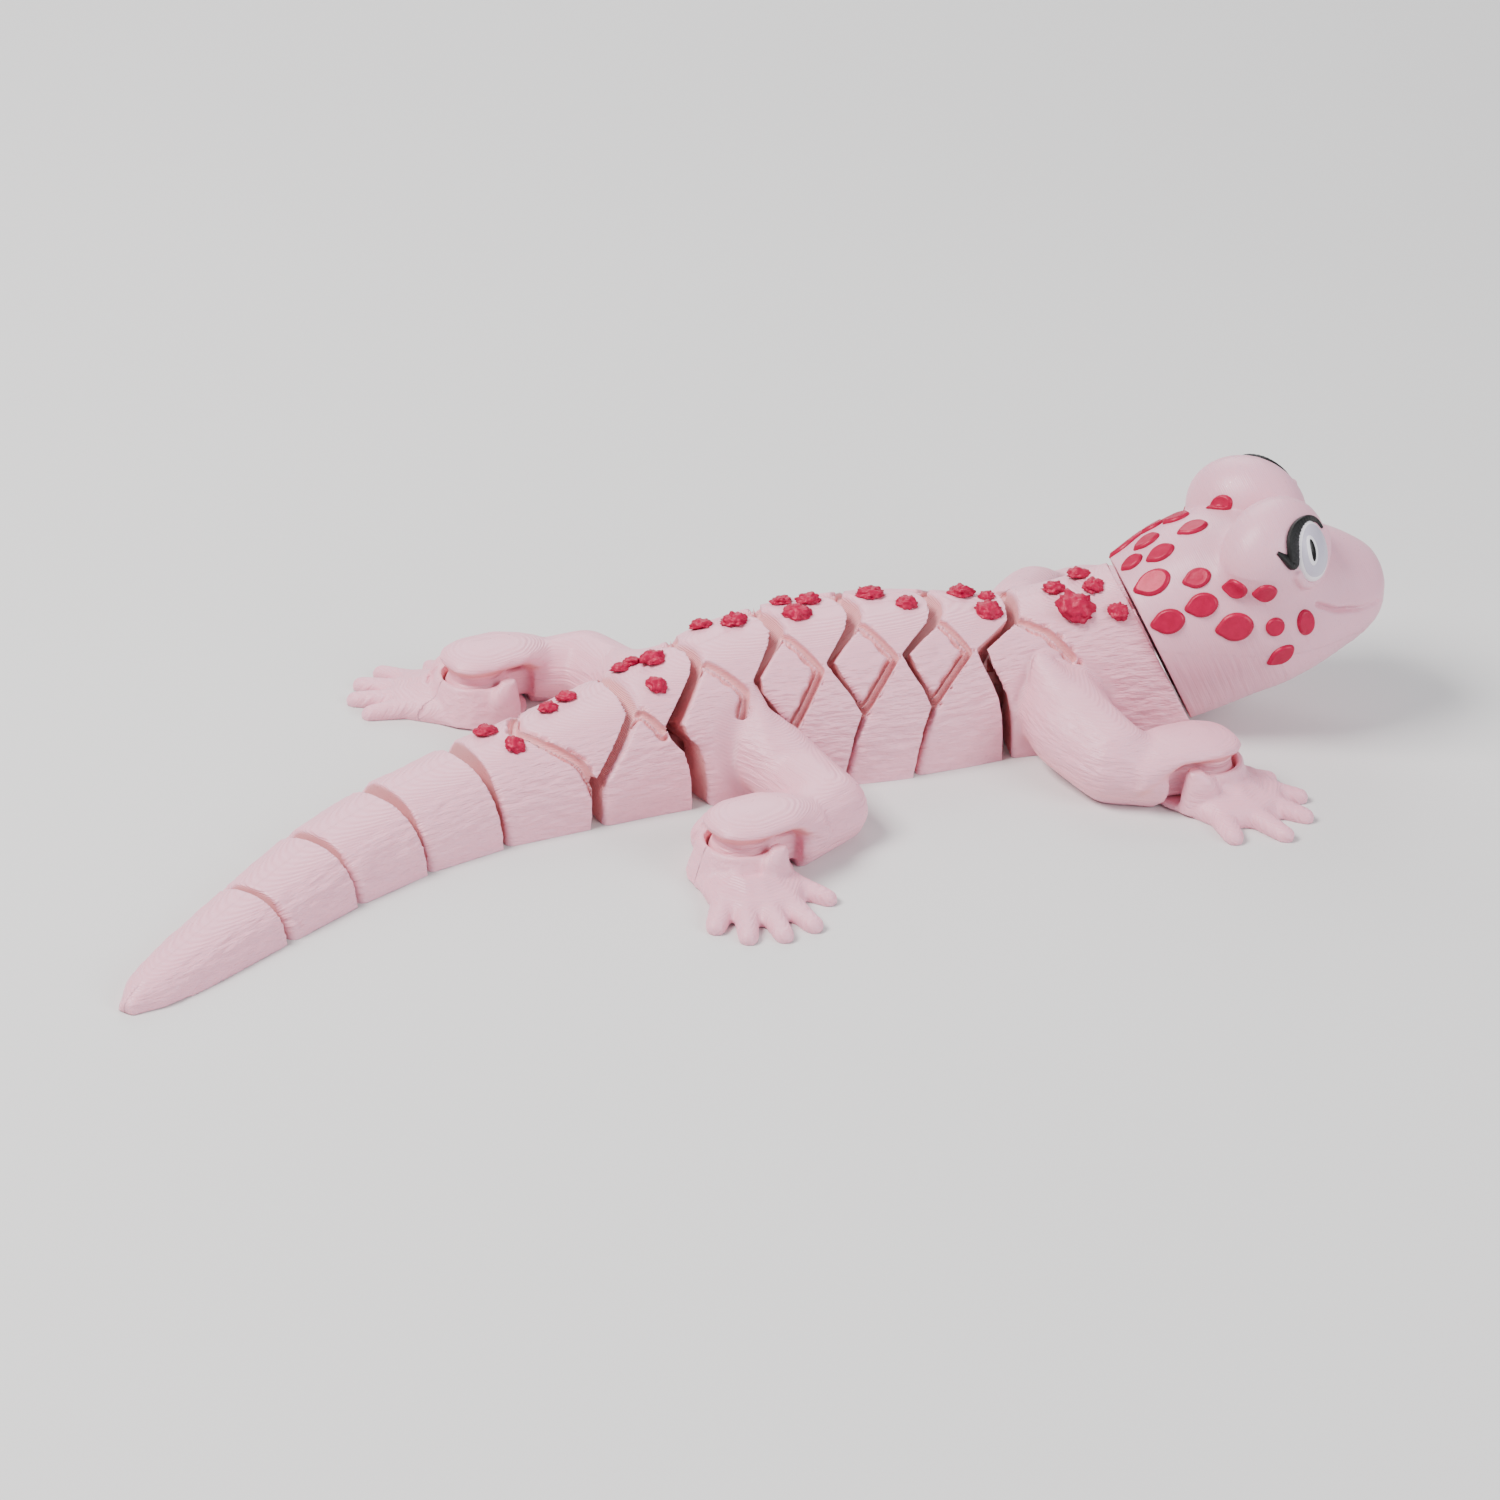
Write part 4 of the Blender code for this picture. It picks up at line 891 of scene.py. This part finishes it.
plates = bmesh.new()
for x, y, z, long, wide in TOP_PLATES:
    plate(plates, (x, y, z), long, wide, 0.35)
for x, y, z, long, wide in CHEEK_PLATES:
    for flip in (1, -1):
        plate(plates, (x, flip * y, z), long, wide, 0.25 if z > 18.0 else 0.8)
piece = new_object("spots_head", plates)
for polygon in piece.data.polygons:
    polygon.use_smooth = True
gem_red = silk_red("gem_red", 0.25)
dress(piece, "shoulder_link", [], gem_red)

# Eyes: pale lilac lenses with a deeper iris, a black slit pupil ringed in white, and a
# thick ribbed black lash over the back and top that thins down the front edge.
LILAC = (0.540, 0.500, 0.600, 1.0)
WHITE = (0.860, 0.830, 0.860, 1.0)
BLACK = (0.003, 0.003, 0.003, 1.0)
PATCHES = (("iris", 0.4, 0.1, 3.05, 4.1, 0.05, "eye"), ("ring", 1.7, 0.5, 0.95, 2.35, 0.11, "eye"),
           ("pupil", 1.7, 0.5, 0.42, 1.75, 0.17, "lash"))
PATCH_LEAN = -0.1    # towards the tail for each millimetre upwards
LASH = [(6.7, 1.9, 0.28), (5.6, 0.3, 0.80), (4.7, -0.5, 1.10), (4.3, 1.2, 1.35), (3.7, 2.9, 1.40),
        (2.3, 4.1, 1.20), (0.3, 4.7, 0.90), (-1.9, 4.6, 0.60), (-3.7, 3.6, 0.42), (-4.6, 1.7, 0.34),
        (-4.7, -0.7, 0.30), (-3.9, -2.8, 0.22)]
LASH_THICK = 0.58


def gloss(name, colour, other, scale, roughness, bumpy=0.1):
    """Smooth plastic with a fine mottle of two colours."""
    material = bpy.data.materials.new(name)
    material.use_nodes = True
    tree = material.node_tree
    shader = tree.nodes["Principled BSDF"]
    coords = tree.nodes.new("ShaderNodeTexCoord")
    cloud = noise_node(tree, coords.outputs["Object"], scale, 3.0)
    tree.links.new(mixed(tree, cloud, colour, other), shader.inputs["Base Color"])
    bump = tree.nodes.new("ShaderNodeBump")
    bump.inputs["Strength"].default_value = bumpy
    bump.inputs["Distance"].default_value = 0.0001
    tree.links.new(noise_node(tree, coords.outputs["Object"], scale * 3.0, 2.0), bump.inputs["Height"])
    tree.links.new(bump.outputs["Normal"], shader.inputs["Normal"])
    shader.inputs["Roughness"].default_value = roughness
    shader.inputs["Specular IOR Level"].default_value = 0.30
    return material


eye_white = gloss("eye_white", WHITE, (0.78, 0.73, 0.80, 1.0), 700.0, 0.28)
eye_iris = gloss("eye_iris", LILAC, (0.50, 0.46, 0.57, 1.0), 900.0, 0.25)
eye_black = gloss("eye_black", BLACK, (0.012, 0.011, 0.012, 1.0), 700.0, 0.18)
lash_black = gloss("lash_black", BLACK, (0.010, 0.010, 0.010, 1.0), 2400.0, 0.36, 0.9)
for side, flip in (("right", -1), ("left", 1)):
    out, back, up = eye_axes(flip)
    base = on_dome(flip, 0.0, 0.0) - out * EYE_SUNK

    def on_lens(aside, rise, lift):
        bulge = max(1.0 - (aside / EYE_SIZE[0]) ** 2 - (rise / EYE_SIZE[1]) ** 2, 0.0)
        return base + back * aside + up * rise + out * (EYE_THICK * math.sqrt(bulge) + lift)
    ball = bmesh.new()
    bmesh.ops.create_uvsphere(ball, u_segments=64, v_segments=40, radius=1.0)
    bmesh.ops.scale(ball, verts=ball.verts, vec=(EYE_THICK, *EYE_SIZE))
    frame_of_eye = to_head @ Matrix.Translation(base) @ Matrix((out, back, up)).transposed().to_4x4()
    bmesh.ops.transform(ball, matrix=frame_of_eye, verts=ball.verts)
    lens = new_object("eyeball_" + side, ball)
    for polygon in lens.data.polygons:
        polygon.use_smooth = True
    dress(lens, "shoulder_link", ["eye_" + side], eye_white)
    for name, aside, rise, half, tall, lift, slot_name in PATCHES:
        disc = bmesh.new()
        count, steps = 48, 8
        rows = []
        for share, drop in [(1.0, -0.25)] + [(1.0 - k / steps, 0.0) for k in range(steps)]:
            rows.append([disc.verts.new(to_head @ on_lens(
                aside + half * share * math.cos(2 * math.pi * k / count)
                + PATCH_LEAN * tall * share * math.sin(2 * math.pi * k / count),
                rise + tall * share * math.sin(2 * math.pi * k / count), lift + drop))
                for k in range(count)])
        for row, after in zip(rows, rows[1:]):
            for i in range(count):
                disc.faces.new((row[i], row[(i + 1) % count], after[(i + 1) % count], after[i]))
        for row in (rows[0], rows[-1]):
            disc.faces.new(row)
        bmesh.ops.recalc_face_normals(disc, faces=disc.faces)
        patch = new_object(name + "_" + side, disc)
        colour = {"iris": eye_iris, "ring": eye_white, "pupil": eye_black}[name]
        dress(patch, "shoulder_link", [], colour)
    rings = []
    steps = 90
    for i in range(steps + 1):
        aside, rise, half = eased(LASH, i / steps)
        later = eased(LASH, min(i / steps + 0.01, 1.0))
        sooner = eased(LASH, max(i / steps - 0.01, 0.0))
        spot = on_dome(flip, aside, rise)
        along = (on_dome(flip, later[0], later[1]) - on_dome(flip, sooner[0], sooner[1])).normalized()
        normal = (spot - on_dome(flip, aside, rise, -1.0)).normalized()
        normal = (normal - along * normal.dot(along)).normalized()
        across = along.cross(normal)
        ridge = 1.0 + 0.10 * math.sin(i * 2.3) * smooth_step(0.4, 0.9, half)
        thick = LASH_THICK * (0.45 + 0.55 * smooth_step(0.2, 1.0, half)) * ridge
        ring = []
        for k in range(16):
            angle = 2 * math.pi * k / 16
            c, d = math.cos(angle), math.sin(angle)
            ring.append(spot + across * half * math.copysign(abs(c) ** 0.6, c)
                        + normal * thick * math.copysign(abs(d) ** 0.6, d))
        rings.append(ring)
    band = bmesh.new()
    skinned(band, [[to_head @ point for point in ring] for ring in rings])
    bmesh.ops.recalc_face_normals(band, faces=band.faces)
    lash = new_object("lash_band_" + side, band)
    for polygon in lash.data.polygons:
        polygon.use_smooth = True
    dress(lash, "shoulder_link", ["lash_" + side], lash_black)

# Floor, light and camera, at the photo's own view of the toy.
plain = bpy.data.materials.new("studio_floor")
plain.use_nodes = True
tree = plain.node_tree
floor_coords = tree.nodes.new("ShaderNodeTexCoord")
floor_cloud = noise_node(tree, floor_coords.outputs["Object"], 6.0, 2.0)
tree.links.new(mixed(tree, floor_cloud, (0.70, 0.69, 0.68, 1.0), (0.74, 0.73, 0.72, 1.0)),
               tree.nodes["Principled BSDF"].inputs["Base Color"])
tree.nodes["Principled BSDF"].inputs["Roughness"].default_value = 0.7
bm = bmesh.new()
bmesh.ops.create_grid(bm, x_segments=1, y_segments=1, size=4.0)
floor = new_object("studio_floor", bm)
floor.data.materials.append(plain)

world = scene.world or bpy.data.worlds.new("studio")
scene.world = world
world.use_nodes = True
world.node_tree.nodes["Background"].inputs["Color"].default_value = (0.90, 0.93, 1.0, 1.0)
world.node_tree.nodes["Background"].inputs["Strength"].default_value = 0.42


def area_light(name, place, size, power, colour):
    lamp = bpy.data.lights.new(name, "AREA")
    lamp.size = size
    lamp.energy = power
    lamp.color = colour
    item = bpy.data.objects.new(name, lamp)
    scene.collection.objects.link(item)
    item.location = place
    item.rotation_euler = (-Vector(place)).to_track_quat("-Z", "Y").to_euler()
    return item


area_light("key", (-0.55, 0.15, 0.75), 0.40, 14.0, (1.0, 0.98, 0.96))
area_light("fill", (0.35, -0.75, 0.45), 0.5, 6.0, (0.95, 0.97, 1.0))
area_light("rim", (0.35, 0.65, 0.50), 0.55, 3.5, (1.0, 1.0, 1.0))

CAMERA_PLACE = (-0.29241, -0.45866, 0.295)
CAMERA_HEADING = 57.0
CAMERA_DOWN = 28.0
CAMERA_ROLL = 2.36
camera = bpy.data.objects.new("photo_camera", bpy.data.cameras.new("photo_camera"))
scene.collection.objects.link(camera)
heading, down, roll = (math.radians(x) for x in (CAMERA_HEADING, CAMERA_DOWN, CAMERA_ROLL))
ahead = Vector((math.cos(heading) * math.cos(down), math.sin(heading) * math.cos(down), -math.sin(down)))
flat_right = Vector((math.sin(heading), -math.cos(heading), 0))
flat_up = flat_right.cross(ahead)
right = flat_right * math.cos(roll) + flat_up * math.sin(roll)
up = flat_up * math.cos(roll) - flat_right * math.sin(roll)
camera.matrix_world = Matrix.Translation(CAMERA_PLACE) @ Matrix((right, up, -ahead)).transposed().to_4x4()
camera.data.lens = 96.29
camera.data.sensor_width = 36.0
camera.data.clip_start = 0.01
scene.camera = camera
